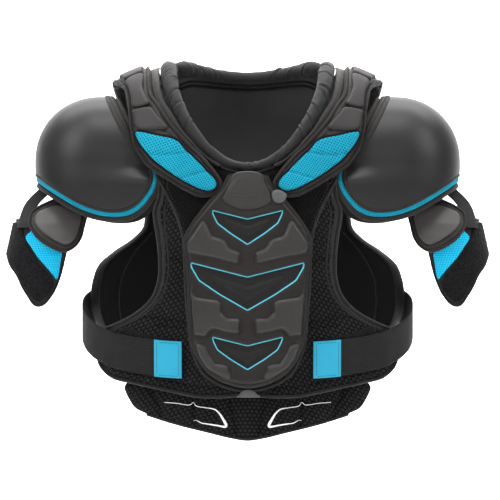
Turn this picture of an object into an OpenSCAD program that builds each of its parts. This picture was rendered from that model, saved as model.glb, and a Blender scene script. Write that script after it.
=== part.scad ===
// Ice hockey shoulder pads, senior size.
// Millimetres. +Z up, the wearer faces -Y, the wearer's right arm is on the -X side.
// The origin is the point between the wearer's shoulders where the pads hang:
// on the mid plane, level with the outer ends of the shoulder lines.

/* [Wearer side] */
// Half width of the wearer side of the chest
chest_half_w = 192; // [189:1:195]
// Depth of the wearer side in front of the shoulder line
front_depth = 100; // [98:1:102]
// Depth of the wearer side behind the shoulder line
back_depth = 112; // [110:1:114]
// Height of the arch over the shoulder
arch_h = 110; // [107:1:113]

/* [Foam] */
// Thickness of the chest and back panels
panel_t = 12; // [11:0.5:12]
// Thickness of the foam under the sternum plate
sternum_foam = 9.4; // [8:0.2:9.4]
// Thickness of the clavicle and rear arch pads
arch_pad_t = 11; // [9:0.5:11]
// Thickness of the foam inside the shoulder caps
cap_foam = 12; // [9:0.5:12]
// Thickness of the arm wrap foam
wrap_t = 9; // [7:0.5:9]

/* [Shells and trim] */
// Wall of the moulded shoulder cap
cap_wall = 3.5; // [3:0.1:3.5]
// Height of the sternum plate above its foam
plate_t = 7.5; // [5:0.5:7.5]
// Radius of the edge binding
bind_r = 2.6; // [2.2:0.1:2.8]
// Radius of the collar roll at the shoulders
collar_r = 10; // [8:0.5:10]
// Radius of the collar roll at the throat
throat_r = 5.5; // [4.5:0.5:5.5]

/* [Straps] */
// Width of the elastic side straps
strap_w = 46; // [38:1:48]
// Thickness of the elastic side straps
strap_t = 2; // [1.6:0.1:2]

/* [Shoulder caps] */
// Reach of a cap outwards from its middle
cap_rx = 86; // [84:0.5:88]
// Reach of a cap forwards and backwards from its middle
cap_ry = 86; // [85:0.5:87]
// Reach of a cap upwards from its middle
cap_rz = 85; // [83:0.5:86]

/* [Hidden] */

charcoal = [0.27, 0.26, 0.26];
coal = [0.16, 0.16, 0.16];
jet = [0.09, 0.09, 0.09];
stone = [0.42, 0.41, 0.41];
blue = [0.06, 0.60, 0.80];
white = [0.92, 0.92, 0.92];

E = 2 / 2.2;          // exponent of the body's rounded sections
step_z = 1.9;         // height of one step of t below the arch
top_t = 1.6;          // where the front and back halves stop at the shoulder line
gap = 0.6;            // play between layers that move on each other
top2 = panel_t + gap; // underside of the layer over the panels

// ---- the body's surface ----------------------------------------------------
// p is the angle round the body from the middle of the front, or of the back when t is negative.
// t runs over the shoulder from 0 at its top to 90 at the end of the arch, and then straight down.
function sgn(v) = v < 0 ? -1 : 1;
function zsh(x) = 32 - 0.45 * (sqrt(x * x + 3600) - 60);
function taper(z) = 1 - 0.12 * pow(min(1, max(0, (-z - 150) / 300)), 1.5);
function xof(p) = chest_half_w * sgn(sin(p)) * pow(abs(sin(p)), E);
function pof(x) = sgn(x) * asin(pow(min(1, abs(x) / chest_half_w), 1 / E));
function tof(x, z) = let (zc = zsh(x) - arch_h)
  z >= zc ? acos(min(1, pow((z - zc) / arch_h, 1 / E))) : 90 + (zc - z) / step_z;
function base(p, t) = let (x = xof(p), zc = zsh(x) - arch_h, u = min(abs(t), 90),
    s = (cos(p) < 0 ? -1 : 1) * (t < 0 ? -1 : 1),
    z = abs(t) <= 90 ? zc + arch_h * pow(cos(u), E) : zc - (abs(t) - 90) * step_z,
    b = (s > 0 ? front_depth : back_depth) * pow(abs(cos(p)), E) * taper(z))
  [x, -s * b * pow(sin(u), E), z];
function unit(v) = v / norm(v);
function nrm(p, t) = let (d = 0.8, o = base(p, t),
    n = unit(cross(base(p + d, t) - base(p - d, t), base(p, t + d) - base(p, t - d))),
    q = [o.x, o.y, abs(t) < 90 ? o.z - zsh(o.x) + arch_h : 0])
  n * q < 0 ? -n : n;
function surf(p, t, o) = base(p, t) + o * nrm(p, t);
// a point over the body at a given x and z, on the front (sd 1) or back (sd -1)
function at(x, z, o, sd = 1) = surf(pof(x), sd * tof(x, z), o);

// rows: [x left, x right, z left, z right], or with a fifth item 1, z stands for t
function rowpt(r, f) = let (p = pof(r[0]) + (pof(r[1]) - pof(r[0])) * f, v = r[2] + (r[3] - r[2]) * f)
  r[4] == 1 ? [p, v] : [p, tof(xof(p), v)];
function grid(rows, C, o, ed, sd) = let (R = len(rows)) [for (r = [0:R - 1]) [for (c = [0:C - 1])
  let (q = rowpt(rows[r], c / (C - 1)), e = r == 0 || r == R - 1 || c == 0 || c == C - 1)
  surf(q[0], sd * q[1], e ? o - ed : o)]];

// ---- generic solids --------------------------------------------------------
function flip(F, y) = y ? F : [for (f = F) [f[0], f[2], f[1]]];
module slab(O, I) {
  R = len(O); C = len(O[0]); N = R * C; m = floor(R / 2); k = floor(C / 2);
  y = cross(O[min(R - 1, m + 1)][k] - O[max(0, m - 1)][k], O[m][min(C - 1, k + 1)] - O[m][max(0, k - 1)])
    * (O[m][k] - I[m][k]) > 0;
  F = [
    for (r = [0:R - 2]) for (c = [0:C - 2]) let (a = r * C + c, b = a + 1, d = a + C, e = d + 1)
      each [[a, b, e], [a, e, d], [a + N, e + N, b + N], [a + N, d + N, e + N]],
    for (c = [0:C - 2]) let (a = c, b = c + 1, d = (R - 1) * C + c, e = d + 1)
      each [[b, a, a + N], [b, a + N, b + N], [d, e, e + N], [d, e + N, d + N]],
    for (r = [0:R - 2]) let (a = r * C, d = a + C, b = a + C - 1, e = b + C)
      each [[a, d, d + N], [a, d + N, a + N], [e, b, b + N], [e, b + N, e + N]]];
  polyhedron(concat([for (r = O) for (q = r) q], [for (r = I) for (q = r) q]), flip(F, y));
}
module patch(rows, C, o1, o2, ed = 0, sd = 1) slab(grid(rows, C, o2, ed, sd), grid(rows, C, o1, 0, sd));
// a ring-shaped slab: O and I are two rings each, closed on themselves
module band(O, I) {
  K = len(O[0]); N = 2 * K;
  y = cross(O[1][0] - O[0][0], O[0][1] - O[0][0]) * (O[0][0] - I[0][0]) > 0;
  F = [for (c = [0:K - 1]) let (n = (c + 1) % K, a = c, b = n, d = K + c, e = K + n)
    each [[a, b, e], [a, e, d], [a + N, e + N, b + N], [a + N, d + N, e + N],
          [b, a, a + N], [b, a + N, b + N], [d, e, e + N], [d, e + N, d + N]]];
  polyhedron(concat(O[0], O[1], I[0], I[1]), flip(F, y));
}
// a dome: a pole and rings for its outside, and the same for its inside
module dome(po, O, pi, I) {
  R = len(O); K = len(O[0]); N = 1 + R * K;
  y = cross(O[1][0] - O[0][0], O[0][1] - O[0][0]) * (O[0][0] - I[0][0]) > 0;
  F = [
    for (c = [0:K - 1]) let (n = (c + 1) % K) each [[0, 1 + n, 1 + c], [N, N + 1 + c, N + 1 + n]],
    for (r = [0:R - 2]) for (c = [0:K - 1]) let (n = (c + 1) % K, a = 1 + r * K + c, b = 1 + r * K + n, d = a + K, e = b + K)
      each [[a, b, e], [a, e, d], [a + N, e + N, b + N], [a + N, d + N, e + N]],
    for (c = [0:K - 1]) let (n = (c + 1) % K, d = 1 + (R - 1) * K + c, e = 1 + (R - 1) * K + n)
      each [[d, e, e + N], [d, e + N, d + N]]];
  polyhedron(concat([po], [for (r = O) for (q = r) q], [pi], [for (r = I) for (q = r) q]), flip(F, y));
}
// a tube along points with normals; rad is one radius pair [along normal, across] per point
module tube(P, Nn, rad, K = 6, closed = false) {
  n = len(P);
  rings = [for (i = [0:n - 1]) let (
      T = unit(P[closed ? (i + 1) % n : min(n - 1, i + 1)] - P[closed ? (i + n - 1) % n : max(0, i - 1)]),
      v = unit(cross(T, Nn[i])), u = cross(v, T))
    [for (j = [0:K - 1]) let (a = 360 * (j + 0.5) / K) P[i] + rad[i][0] * cos(a) * u + rad[i][1] * sin(a) * v]];
  F = [
    for (i = [0:(closed ? n - 1 : n - 2)]) for (j = [0:K - 1])
      let (m = (i + 1) % n, k = (j + 1) % K, a = i * K + j, b = i * K + k, d = m * K + j, e = m * K + k)
      each [[a, d, e], [a, e, b]],
    if (!closed) for (j = [1:K - 2]) [0, j, j + 1],
    if (!closed) for (j = [1:K - 2]) let (q = (n - 1) * K) [q, q + j + 1, q + j]];
  polyhedron([for (r = rings) for (q = r) q], F);
}
// the edge of a patch as a loop of [p, t]: down the left side, along the bottom, up and back along the top
function edge(rows, B) = let (R = len(rows)) concat(
  [for (r = [0:R - 1]) rowpt(rows[r], 0)], [for (c = [1:B]) rowpt(rows[R - 1], c / (B + 1))],
  [for (r = [R - 1:-1:0]) rowpt(rows[r], 1)], [for (c = [B:-1:1]) rowpt(rows[0], c / (B + 1))]);
module piping(loop, o, r, sd = 1) tube([for (q = loop) surf(q[0], sd * q[1], o)],
  [for (q = loop) nrm(q[0], sd * q[1])], [for (q = loop) [r, r]], 4, true);
module left() mirror([1, 0, 0]) children();

// ---- back half -------------------------------------------------------------
back_rows = [[-140, -60], [-129, -80], [-119, -100], [-111, -122], [-116, -146], [-130, -170], [-134, -190],
  [-148, -206], [-168, -221], [-184, -238], [-190, -258], [-191.5, -280], [-190.5, -300], [-184, -320],
  [-168, -340], [-130, -358]];
neck_pts = [[-152, 0], [-138, 0], [-125, 0], [-112, 0], [-99, -1], [-78, 1.5], [-44, 0.5], [0, -1]];
function neck(c) = let (q = neck_pts[c <= 7 ? c : 14 - c], x = c <= 7 ? q[0] : -q[0])
  [pof(x), q[1] == 0 ? top_t : tof(x, q[1])];
function back_pt(r, c) = let (a = neck(c), w = back_rows[0][0], p = pof(w) + 2 * pof(-w) * c / 14, b = [p, tof(xof(p), back_rows[0][1])])
  r < 5 ? a + (b - a) * r / 5 : rowpt([back_rows[r - 5][0], -back_rows[r - 5][0], back_rows[r - 5][1], back_rows[r - 5][1]], c / 14);
back_R = 5 + len(back_rows);
function back_grid(o) = [for (r = [0:back_R - 1]) [for (c = [0:14]) let (q = back_pt(r, c)) surf(q[0], -q[1], o)]];
module back_panel() color(jet) slab(back_grid(panel_t), back_grid(0));
// the binding is folded round the edge of the back panel, down one armhole, along the waist and up the other
back_edge = concat([for (r = [2:back_R - 1]) back_pt(r, 0)], [for (c = [2:2:12]) back_pt(back_R - 1, c)], [for (r = [back_R - 1:-1:2]) back_pt(r, 14)]);
module back_tube(m) tube([for (q = back_edge) surf(q[0], -q[1], panel_t / 2 - 0.2)], [for (q = back_edge) nrm(q[0], -q[1])], [for (q = back_edge) [panel_t / 2 * 1.414 + 0.2 + m, bind_r + m]], 4);
module back_binding() color(coal) difference() { back_tube(0); slab(back_grid(panel_t), back_grid(0)); }

// a patch that follows the back panel it lies on
module over_back(rows, C, o1, o2, ed, sd, m) difference() {
  patch(rows, C, o1, o2, ed, sd);
  slab(back_grid(m), back_grid(-2));
  back_tube(0.6);
}
module spine_guard() color(charcoal) for (s = [[-34, -84, 34, 40], [-88, -138, 42, 47], [-142, -192, 48, 48], [-196, -246, 47, 42], [-250, -300, 40, 30]])
  patch([for (k = [0:3]) let (f = k / 3, z = s[0] + (s[1] - s[0]) * f, w = s[2] + (s[3] - s[2]) * f) [-w, w, z, z]], 7, top2, top2 + 7, 1.6, -1);

module rear_arch_pad_right() color(charcoal) over_back([[-166, -122, top_t, top_t, 1], [-165, -120, 14, 14, 1], [-161, -117, 28, 28, 1],
    [-153, -104, -40, -40], [-147, -86, -66, -66], [-140, -66, -94, -94], [-132, -58, -124, -124], [-126, -58, -152, -152], [-118, -66, -176, -176]],
  6, top2, top2 + arch_pad_t, 2.4, -1, panel_t + 1.2);

function collar_r_at(i, n, r0, r1) = let (f = abs(2 * i / (n - 1) - 1)) r1 + (r0 - r1) * pow(f, 1.3);
front_neck = [[-99, top_t, 1], [-98, 12, 1], [-96, -9, 0], [-91, -28, 0], [-82, -48, 0], [-71, -67, 0], [-57, -85, 0], [-41, -100, 0], [-25, -110, 0], [-11, -114.5, 0], [0, -115.5, 0]];
back_neck = [[-99, top_t, 1], [-98.2, 7, 1], [-94, 12, 1], [-84, 9.5, 0], [-66, 11, 0], [-44, 9.5, 0], [-21, 7.5, 0], [0, 7, 0]];
function neck_path(L) = let (n = len(L), q = [for (a = L) [pof(a[0]), a[2] == 1 ? a[1] : tof(a[0], a[1])]])
  concat(q, [for (i = [n - 2:-1:0]) [-q[i][0], q[i][1]]]);
module neck_roll(L, sd, r1, o) {
  q = neck_path(L); n = len(q);
  tube([for (a = q) surf(a[0], sd * a[1], o)], [for (a = q) nrm(a[0], sd * a[1])],
    [for (i = [0:n - 1]) let (r = collar_r_at(i, n, collar_r, r1)) [r, r]], 8);
}
module collar_back() color(coal) difference() { neck_roll(back_neck, -1, 9, 8); slab(back_grid(panel_t + 0.2), back_grid(-0.4)); }
module collar_front() color(coal) neck_roll(front_neck, 1, throat_r, 8);

// webbing from the back half to a cap's inner top edge
tether = [[-155.6, 0], [-161, -1], [-166, -4], [-168.6, -8]];
module cap_tether_right() color(jet) difference() {
  for (y0 = [4, 17])
    slab([for (q = tether) [for (y = [y0, y0 + 10]) [q[0], y, zsh(q[0]) + 7 + q[1]]]],
         [for (q = tether) [for (y = [y0, y0 + 10]) [q[0] + (q[1] < -3 ? 1.6 : 0), y, zsh(q[0]) + 5 + q[1]]]]);
  trim_band(0.8);
}

// side strap path: [p, z, offset of its inner face]
strap_path = [[-22.2, -355.5, 13.7], [-26, -355, 13.7], [-30, -354.3, 13.7], [-33.4, -353.4, 13.7], [-38, -352, 13.7], [-43, -350.5, 13.7], [-49, -348, 13.7],
  [-55, -345.5, 13.7], [-61, -341, 13.8], [-67, -336.5, 14.4], [-73, -330.5, 16], [-79, -323, 18], [-85, -314.5, 19.4], [-91, -306, 19.8],
  [-97, -299, 18.6], [-103, -294, 16.4], [-109, -290.5, 14.6], [-114, -288, 13.8]];
function strap_pt(q, v, o) = surf(q[0], tof(xof(q[0]), q[1] + v), q[2] + o);
module strap_run(L, w, o1, o2) slab([for (v = [w / 2, 0, -w / 2]) [for (q = L) strap_pt(q, v, o2)]],
  [for (v = [w / 2, 0, -w / 2]) [for (q = L) strap_pt(q, v, o1)]]);
module side_strap_right() color(coal) difference() { strap_run(strap_path, strap_w, 0, strap_t); front_binding_right(0.6); }
module strap_tab_right() color(blue) strap_run([for (i = [0:3]) strap_path[i] - [i == 0 ? 0.2 : 0, 0, 0]], strap_w, strap_t + 0.2, strap_t + 1.6);
module strap_anchor_right() color(jet) strap_run([[-117, -287, 12.3], [-122, -285.5, 12.3], [-127, -284.5, 12.3], [-132, -284, 12.3]], strap_w, 0, 3);
module strap_patch_right() color(jet) difference() { strap_run([[-22.5, -355, 12.2], [-33, -353.5, 12.2], [-43, -350.5, 12.2], [-55, -345.5, 12.2]], strap_w + 4, 0, 1); patch(front_rows, 8, 0, panel_t, 2); }

module kidney_pad() color(jet) patch([for (r = [[-129, -364], [-126, -380], [-118, -397], [-98, -413], [-60, -421]]) [r[0], -r[0], r[1], r[1]]], 11, 0, panel_t - 0.8, 2, -1);

// ---- front half ------------------------------------------------------------
front_rows = [[-152, -111, top_t, top_t, 1], [-152, -110, 12, 12, 1], [-151, -107, -22, -22], [-142, -92, -54, -54], [-132, -80, -74, -74],
  [-123, -64, -92, -92], [-114, -45, -108, -108], [-110, -27, -118, -118], [-109, -2, -123, -123], [-107, -2, -140, -140], [-110, -2, -156, -156],
  [-116, -2, -168, -168], [-109, -2, -207, -207], [-107, -2, -233, -233], [-109, -2, -258, -258], [-117, -2, -278, -278], [-128, -2, -292, -292],
  [-143, -2, -303, -303], [-162, -2, -313, -313], [-181, -2, -323, -323], [-183, -2, -338, -338], [-181, -2, -362, -362], [-168, -2, -378, -378],
  [-116, -2, -390, -390], [-62, -2, -401, -401]];
module front_panel_right() color(coal) difference() { patch(front_rows, 8, 0, panel_t, 2); cap_room(); }
front_edge = concat([for (r = [2:len(front_rows) - 1]) rowpt(front_rows[r], 0)], [rowpt(front_rows[24], 0.5)]);
module front_binding_right(m = 0) tube([for (q = front_edge) surf(q[0], q[1], panel_t + bind_r * 0.75)], [for (q = front_edge) nrm(q[0], q[1])],
  [for (q = front_edge) [bind_r * 0.55 + m, bind_r + m]], 4);
module front_binding() color(charcoal) { front_binding_right(); left() front_binding_right(); }
module belly_tab() color(stone) patch([[-6, 5, -392.5, -392.5], [-12, 14, -401, -401]], 4, panel_t + 0.3, panel_t + 2);

// ---- sternum ---------------------------------------------------------------
sternum_out = [[20, -122.5], [31, -138], [51, -161], [77.5, -201], [75, -228], [73, -260], [72, -292], [71, -318], [68, -338], [60, -356], [47, -373], [24, -385], [5, -389.5]];
module sternum_pad() color(coal) patch([for (r = sternum_out) [-r[0], r[0], r[1], r[1]]], 9, top2, top2 + sternum_foam, 3);
// the room the sternum pad needs to lift
module sternum_room() patch([for (r = sternum_out) [-r[0] - 3, r[0] + 3, r[1], r[1]]], 9, top2 - 1, 36);
plate_lo = top2 + sternum_foam + 0.3;
module sternum_plate() color(charcoal) patch([for (r = sternum_out) [-(r[0] - 5) - (r[0] < 10 ? 4 : 0), r[0] - 5 + (r[0] < 10 ? 4 : 0), r[1] + (r[1] < -380 ? 4 : 0) - (r[1] > -130 ? 4 : 0), r[1] + (r[1] < -380 ? 4 : 0) - (r[1] > -130 ? 4 : 0)]],
  9, plate_lo, plate_lo + plate_t, 2.5);
plate_hi = plate_lo + plate_t + 0.2;
module sternum_badge() color(stone) patch([[-11, 11, -129, -129], [-18, 18, -138, -138], [-25, 25, -148, -148], [-20, 20, -157, -157], [-8, 8, -162, -162]], 5, plate_hi, plate_hi + 2, 0.8);
// bead round a chevron: half width, top, dip, depth
module chevron(w, z, d, h) {
  L = [[-w, z], [-w / 2, z - d / 2], [0, z - d], [w / 2, z - d / 2], [w, z], [w * 0.93, z - h * 0.42], [w * 0.5, z - h * 0.72], [0, z - h], [-w * 0.5, z - h * 0.72], [-w * 0.93, z - h * 0.42]];
  tube([for (q = L) at(q[0], q[1], plate_hi + 0.9)], [for (q = L) nrm(pof(q[0]), tof(q[0], q[1]))], [for (q = L) [0.8, 1]], 4, true);
}
module sternum_inlays() color(blue) { chevron(41, -169, 11, 40); chevron(61, -234, 17, 58); chevron(41, -326, 11, 40); }
module sternum_tab() color(stone) patch([[30, 42, -146, -146], [34, 44, -156, -156]], 4, plate_hi, plate_hi + 2);

// ---- clavicle pads ---------------------------------------------------------
clav_rows = [[-166, -122, top_t, top_t, 1], [-165, -120.5, 12, 12, 1], [-161, -119, 26, 26, 1], [-155, -115, -30, -30], [-151, -106, -48, -44], [-149, -94, -70, -62],
  [-144, -78, -92, -80], [-131, -62, -112, -97], [-112, -48, -128, -114], [-92, -38, -140, -128], [-76, -35, -148, -138], [-60, -42, -153, -148]];
clav_hi = top2 + arch_pad_t;
module clavicle_pad_right() color(charcoal) difference() {
  patch(clav_rows, 6, top2, clav_hi, 3);
  cap_room();
  patch(front_rows, 8, -1, panel_t + 0.5, 0);
  front_binding_right(1);
  sternum_room();
}
// the line a clavicle pad's trim is fitted to
module clavicle_base(m) patch(clav_rows, 6, top2, clav_hi + m, 3);
module clavicle_binding_right() color(coal) difference() { piping(edge([for (i = [1:11]) clav_rows[i]], 3), clav_hi + 0.2, bind_r * 0.8); cap_room(); clavicle_base(0); clavicle_seg(0.3); sternum_room(); }
module clavicle_seg(m) {
  patch([[-158, -128, 3, 3, 1], [-157, -128, 11, 11, 1], [-155, -127, 19, 19, 1]], 4, clav_hi + 0.2 - m, clav_hi + 2.4 + m, 1);
  patch([[-153, -126, 24, 24, 1], [-149, -122, -28, -28], [-145, -114, -42, -38]], 4, clav_hi + 0.2 - m, clav_hi + 2.4 + m, 1);
  patch([[-145, -112, -47, -43], [-144, -102, -62, -55], [-143, -94, -68, -71]], 4, clav_hi + 0.2 - m, clav_hi + 2.4 + m, 1);
}
module clavicle_segments_right() color(stone) difference() { clavicle_seg(0); clavicle_base(0); }
module clavicle_insert_right() color(blue) difference() { patch([[-141, -90, -72, -78], [-139, -80, -82, -88], [-131, -70, -98, -98], [-116, -61, -113, -107], [-98, -52, -125, -116], [-81, -45, -134, -126], [-66, -43, -142, -136]], 5, clav_hi + 0.2, clav_hi + 1.4, 0.4); clavicle_base(0); }

// ---- shoulder caps ---------------------------------------------------------
CC = [-188, -5, -106];
PN = 2.1;
cap_in = 140;         // the front and back of a cap run on flatter towards the chest
cap_low = 150;        // and downwards
pole = [-0.749, 0, 0.663]; ce1 = [0.663, 0, 0.749]; ce2 = [0, -1, 0];
function ramp(v) = let (u = min(1, max(0, v))) u * u * (3 - 2 * u);
function sup(d, k) = let (q = CC + d * pow(pow(abs(d.x) / ((d.x > 0 ? cap_in : cap_rx) + k), PN) + pow(abs(d.y) / (cap_ry + k), PN)
    + pow(abs(d.z) / ((d.z < 0 ? cap_low : cap_rz) + k), PN), -1 / PN), u = q.x + 194)
  q - [0, 0.125 * ramp((-108 - q.z) / 28) * (u + sqrt(u * u + 400)) * ramp((-5 - q.y) / 60), 0];
function cdir(ps, th) = cos(th) * pole + sin(th) * (cos(ps) * ce1 + sin(ps) * ce2);
// the edge of a cap: positive inside it; e moves the edge outwards, less along the top
rim_k = 9;            // how round the corners of a cap's edge are
function soft(v) = exp(-v / rim_k);
function rim(P, e) = let (
    a = (P.x + 174) * -0.891 + (P.z + 13) * -0.4535 + e * (0.2 + 0.5 * ramp((-80 - P.z) / 40)),
    b = (P.x + 279) * 0.54 + (P.z + 116) * 0.842 + e,
    c = P.z + 171 + e,
    d = (P.x + 131) * -0.8 + (P.z + 152) * 0.6 + e)
  -rim_k * ln(soft(a) + soft(b) + soft(c) + soft(d));
function rim_th(ps, e, lo = 15, hi = 165, k = 14) = let (m = (lo + hi) / 2)
  k == 0 ? m : rim(sup(cdir(ps, m), 0), e) > 0 ? rim_th(ps, e, m, hi, k - 1) : rim_th(ps, e, lo, m, k - 1);
cap_K = 32; cap_R = 8;
function cap_ps(c) = 360 * (c + 0.5) / cap_K;
// k is the offset at the top of the dome and kr at its edge
function cap_rings(e, k, kr) = let (th = [for (c = [0:cap_K - 1]) rim_th(cap_ps(c), e)])
  [for (r = [1:cap_R]) [for (c = [0:cap_K - 1]) sup(cdir(cap_ps(c), th[c] * r / cap_R), k + (kr - k) * pow(r / cap_R, 3))]];
function cap_ring(e, k) = [for (c = [0:cap_K - 1]) sup(cdir(cap_ps(c), rim_th(cap_ps(c), e)), k)];
module cap_dome(e, k1, k1r, k2) dome(sup(pole, k2), cap_rings(e, k2, k2), sup(pole, k1), cap_rings(e, k1, k1r));
module cap_shell_right() color(charcoal) cap_dome(0, -cap_wall, -cap_wall, 0);
module cap_liner_right() color(jet) difference() {
  cap_dome(13, -cap_wall - 0.5 - cap_foam, -cap_wall - 4.8, -cap_wall - 0.5);
  cap_dome(0, -cap_wall - 0.4, -cap_wall - 0.4, 2);
  cap_dome(0.6, -cap_wall - 0.4, -cap_wall - 0.4, 2);
  trim_band(0.8);
  cap_edge(0.2);
}
// the room a cap needs beside the pads it lies over
module cap_room() cap_dome(31, -cap_wall - cap_foam - 3, -cap_wall - 13, 4.6);
module trim_band(m) band([cap_ring(2.5 - m, m - 1.2), cap_ring(10.5 + m, m - 1.2)], [cap_ring(2.5 - m, -cap_wall - 0.2 - m), cap_ring(10.5 + m, -cap_wall - 0.2 - m)]);
module cap_trim_right() color(blue) difference() { trim_band(0); cap_edge(0.2); }
module cap_edge(m) {
  P = cap_ring(17, -6.2);
  tube(P, [for (q = P) unit(q - CC)], [for (q = P) [3.2 + m, 3 + m]], 6, true);
}
module cap_binding_right() color(coal) cap_edge(0);

// ---- arm guards ------------------------------------------------------------
// al runs round the arm: 0 outside, 90 in front, -90 behind
AQ = [-243.6, -4, -150];
AA = [-0.2164, 0, -0.9763];
AL = [-0.9763, 0, 0.2164];
arm_deep = [[-300, 1.12], [-215, 1.08], [-200, 1.05], [-185, 0.97], [-172, 0.84], [-160, 0.68], [-150, 0.56], [-136, 0.44]];
function arm(al, z, r) = AQ + AA * ((-150 + 0.2164 * r * cos(al) - z) / 0.9763) + r * (cos(al) * AL + lookup(z, arm_deep) * sin(al) * [0, -1, 0]);
wrap_r = 39.5;
wrap_o = wrap_r + wrap_t;
wrap_top = [[-78, -180], [-40, -178], [0, -180], [40, -180], [64, -176], [90, -171], [110, -182], [126, -197]];
wrap_bot = [[-78, -226], [-40, -226], [0, -226], [20, -232], [35, -239], [53, -249], [70, -266], [86, -281], [100, -289], [112, -286], [120, -274], [126, -252]];
module arm_patch(a0, a1, C, R, zt, zb, r1, r2, ed = 0) slab(
  [for (r = [0:R - 1]) [for (c = [0:C - 1]) let (a = a0 + (a1 - a0) * c / (C - 1), t = lookup(a, zt), b = lookup(a, zb), e = r == 0 || r == R - 1 || c == 0 || c == C - 1) arm(a, t + (b - t) * r / (R - 1), e ? r2 - ed : r2)]],
  [for (r = [0:R - 1]) [for (c = [0:C - 1]) let (a = a0 + (a1 - a0) * c / (C - 1), t = lookup(a, zt), b = lookup(a, zb)) arm(a, t + (b - t) * r / (R - 1), r1)]]);
module bicep_wrap_right() color(jet) arm_patch(-78, 126, 19, 6, wrap_top, wrap_bot, wrap_r, wrap_o, 2);
module bicep_insert_right() color(blue) arm_patch(57, 120, 7, 4, [[57, -202], [68, -193], [91, -206], [112, -216], [120, -226]], [[57, -203.5], [70, -215], [85, -229], [104, -244], [120, -256]], wrap_o + 0.3, wrap_o + 1.3, 0.3);
module bicep_strap_right() color(jet) arm_patch(-74, 112, 14, 4, [[-74, -184], [-20, -183], [20, -183], [45, -191], [57, -206], [70, -218], [85, -232], [104, -247], [112, -254]],
  [[-74, -222], [0, -223], [20, -229], [35, -236], [53, -246], [70, -263], [86, -278], [100, -285], [112, -281]], wrap_o + 0.8, wrap_o + 2.7, 0.5);
guard_top = [[64, -170], [78, -160], [92, -154], [110, -158], [136, -170]];
guard_bot = [[64, -186], [70, -193], [86, -208], [104, -216], [116, -220], [128, -217], [136, -205]];
module bicep_guard_right() color(coal) arm_patch(64, 136, 9, 6, guard_top, guard_bot, 54.5, 61, 2);
module bicep_plate_right() color(charcoal) arm_patch(69, 131, 9, 6, [[69, -168], [92, -157], [110, -161], [131, -170]], [[69, -186], [86, -201], [104, -210], [116, -214], [126, -211], [131, -203]], 61.5, 64.2, 1.2);
hang = [[-137, 80], [-144, 72], [-152, 63], [-162, 55], [-175, 53], [-190, 53]];
module bicep_hanger_right() color(coal) difference() {
  slab([for (q = hang) [for (a = [-14, -5, 3, 10]) arm(q[1] + a, q[0], 53.4)]], [for (q = hang) [for (a = [-14, -5, 3, 10]) arm(q[1] + a, q[0], 51.6)]]);
  cap_edge(3.6);
  translate(arm(84, -133.6, 52.6)) rotate([0, 30, 0]) cube([60, 9, 7.2], center = true);
}
// a moulded loop the webbing is threaded through at its top end
module hanger_loop_right() color(jet) {
  c = arm(84, -133.6, 52.6);
  translate(c) rotate([0, 30, 0]) difference() {
    cube([22, 3, 6.4], center = true);
    cube([18, 4, 3.6], center = true);
  }
}

// ---- belly -----------------------------------------------------------------
belly_out = [[157, -388], [159, -395], [153, -408], [145, -420], [112, -432], [74, -442], [40, -449.5], [14, -456]];
module belly_pad() color(jet) patch([for (r = belly_out) [-r[0], r[0], r[1], r[1]]], 13, -13, -1.7, 2.5);
module belly_stripe() {
  L = [[-93, -409], [-78, -412], [-62, -411], [-44, -414], [-31, -419], [-25, -434], [-44, -431], [-60, -427], [-72, -425]];
  tube([for (q = L) at(q[0], q[1], -1.7 + 0.7)], [for (q = L) nrm(pof(q[0]), tof(q[0], q[1]))], [for (i = [0:8]) [0.5, i > 3 && i < 6 ? 2 : 0.9]], 4);
}
module belly_piping() color(white) { belly_stripe(); left() belly_stripe(); }

back_panel();
back_binding();
spine_guard();
rear_arch_pad_right();
left() rear_arch_pad_right();  // rear_arch_pad_left
collar_back();
cap_tether_right();
left() cap_tether_right();  // cap_tether_left
strap_anchor_right();
left() strap_anchor_right();  // strap_anchor_left
kidney_pad();
front_panel_right();
left() front_panel_right();  // front_panel_left
front_binding();
collar_front();
strap_patch_right();
left() strap_patch_right();  // strap_patch_left
belly_tab();
sternum_pad();
sternum_plate();
sternum_inlays();
sternum_badge();
sternum_tab();
clavicle_pad_right();
left() clavicle_pad_right();  // clavicle_pad_left
clavicle_segments_right();
left() clavicle_segments_right();  // clavicle_segments_left
clavicle_insert_right();
left() clavicle_insert_right();  // clavicle_insert_left
clavicle_binding_right();
left() clavicle_binding_right();  // clavicle_binding_left
cap_shell_right();
left() cap_shell_right();  // cap_shell_left
cap_liner_right();
left() cap_liner_right();  // cap_liner_left
cap_trim_right();
left() cap_trim_right();  // cap_trim_left
cap_binding_right();
left() cap_binding_right();  // cap_binding_left
bicep_plate_right();
left() bicep_plate_right();  // bicep_plate_left
bicep_guard_right();
left() bicep_guard_right();  // bicep_guard_left
bicep_hanger_right();
left() bicep_hanger_right();  // bicep_hanger_left
hanger_loop_right();
left() hanger_loop_right();  // hanger_loop_left
bicep_wrap_right();
left() bicep_wrap_right();  // bicep_wrap_left
bicep_insert_right();
left() bicep_insert_right();  // bicep_insert_left
bicep_strap_right();
left() bicep_strap_right();  // bicep_strap_left
belly_pad();
belly_piping();
side_strap_right();
left() side_strap_right();  // side_strap_left
strap_tab_right();
left() strap_tab_right();  // strap_tab_left
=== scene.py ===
import bpy, math
import numpy as np
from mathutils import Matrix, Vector, geometry


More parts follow.
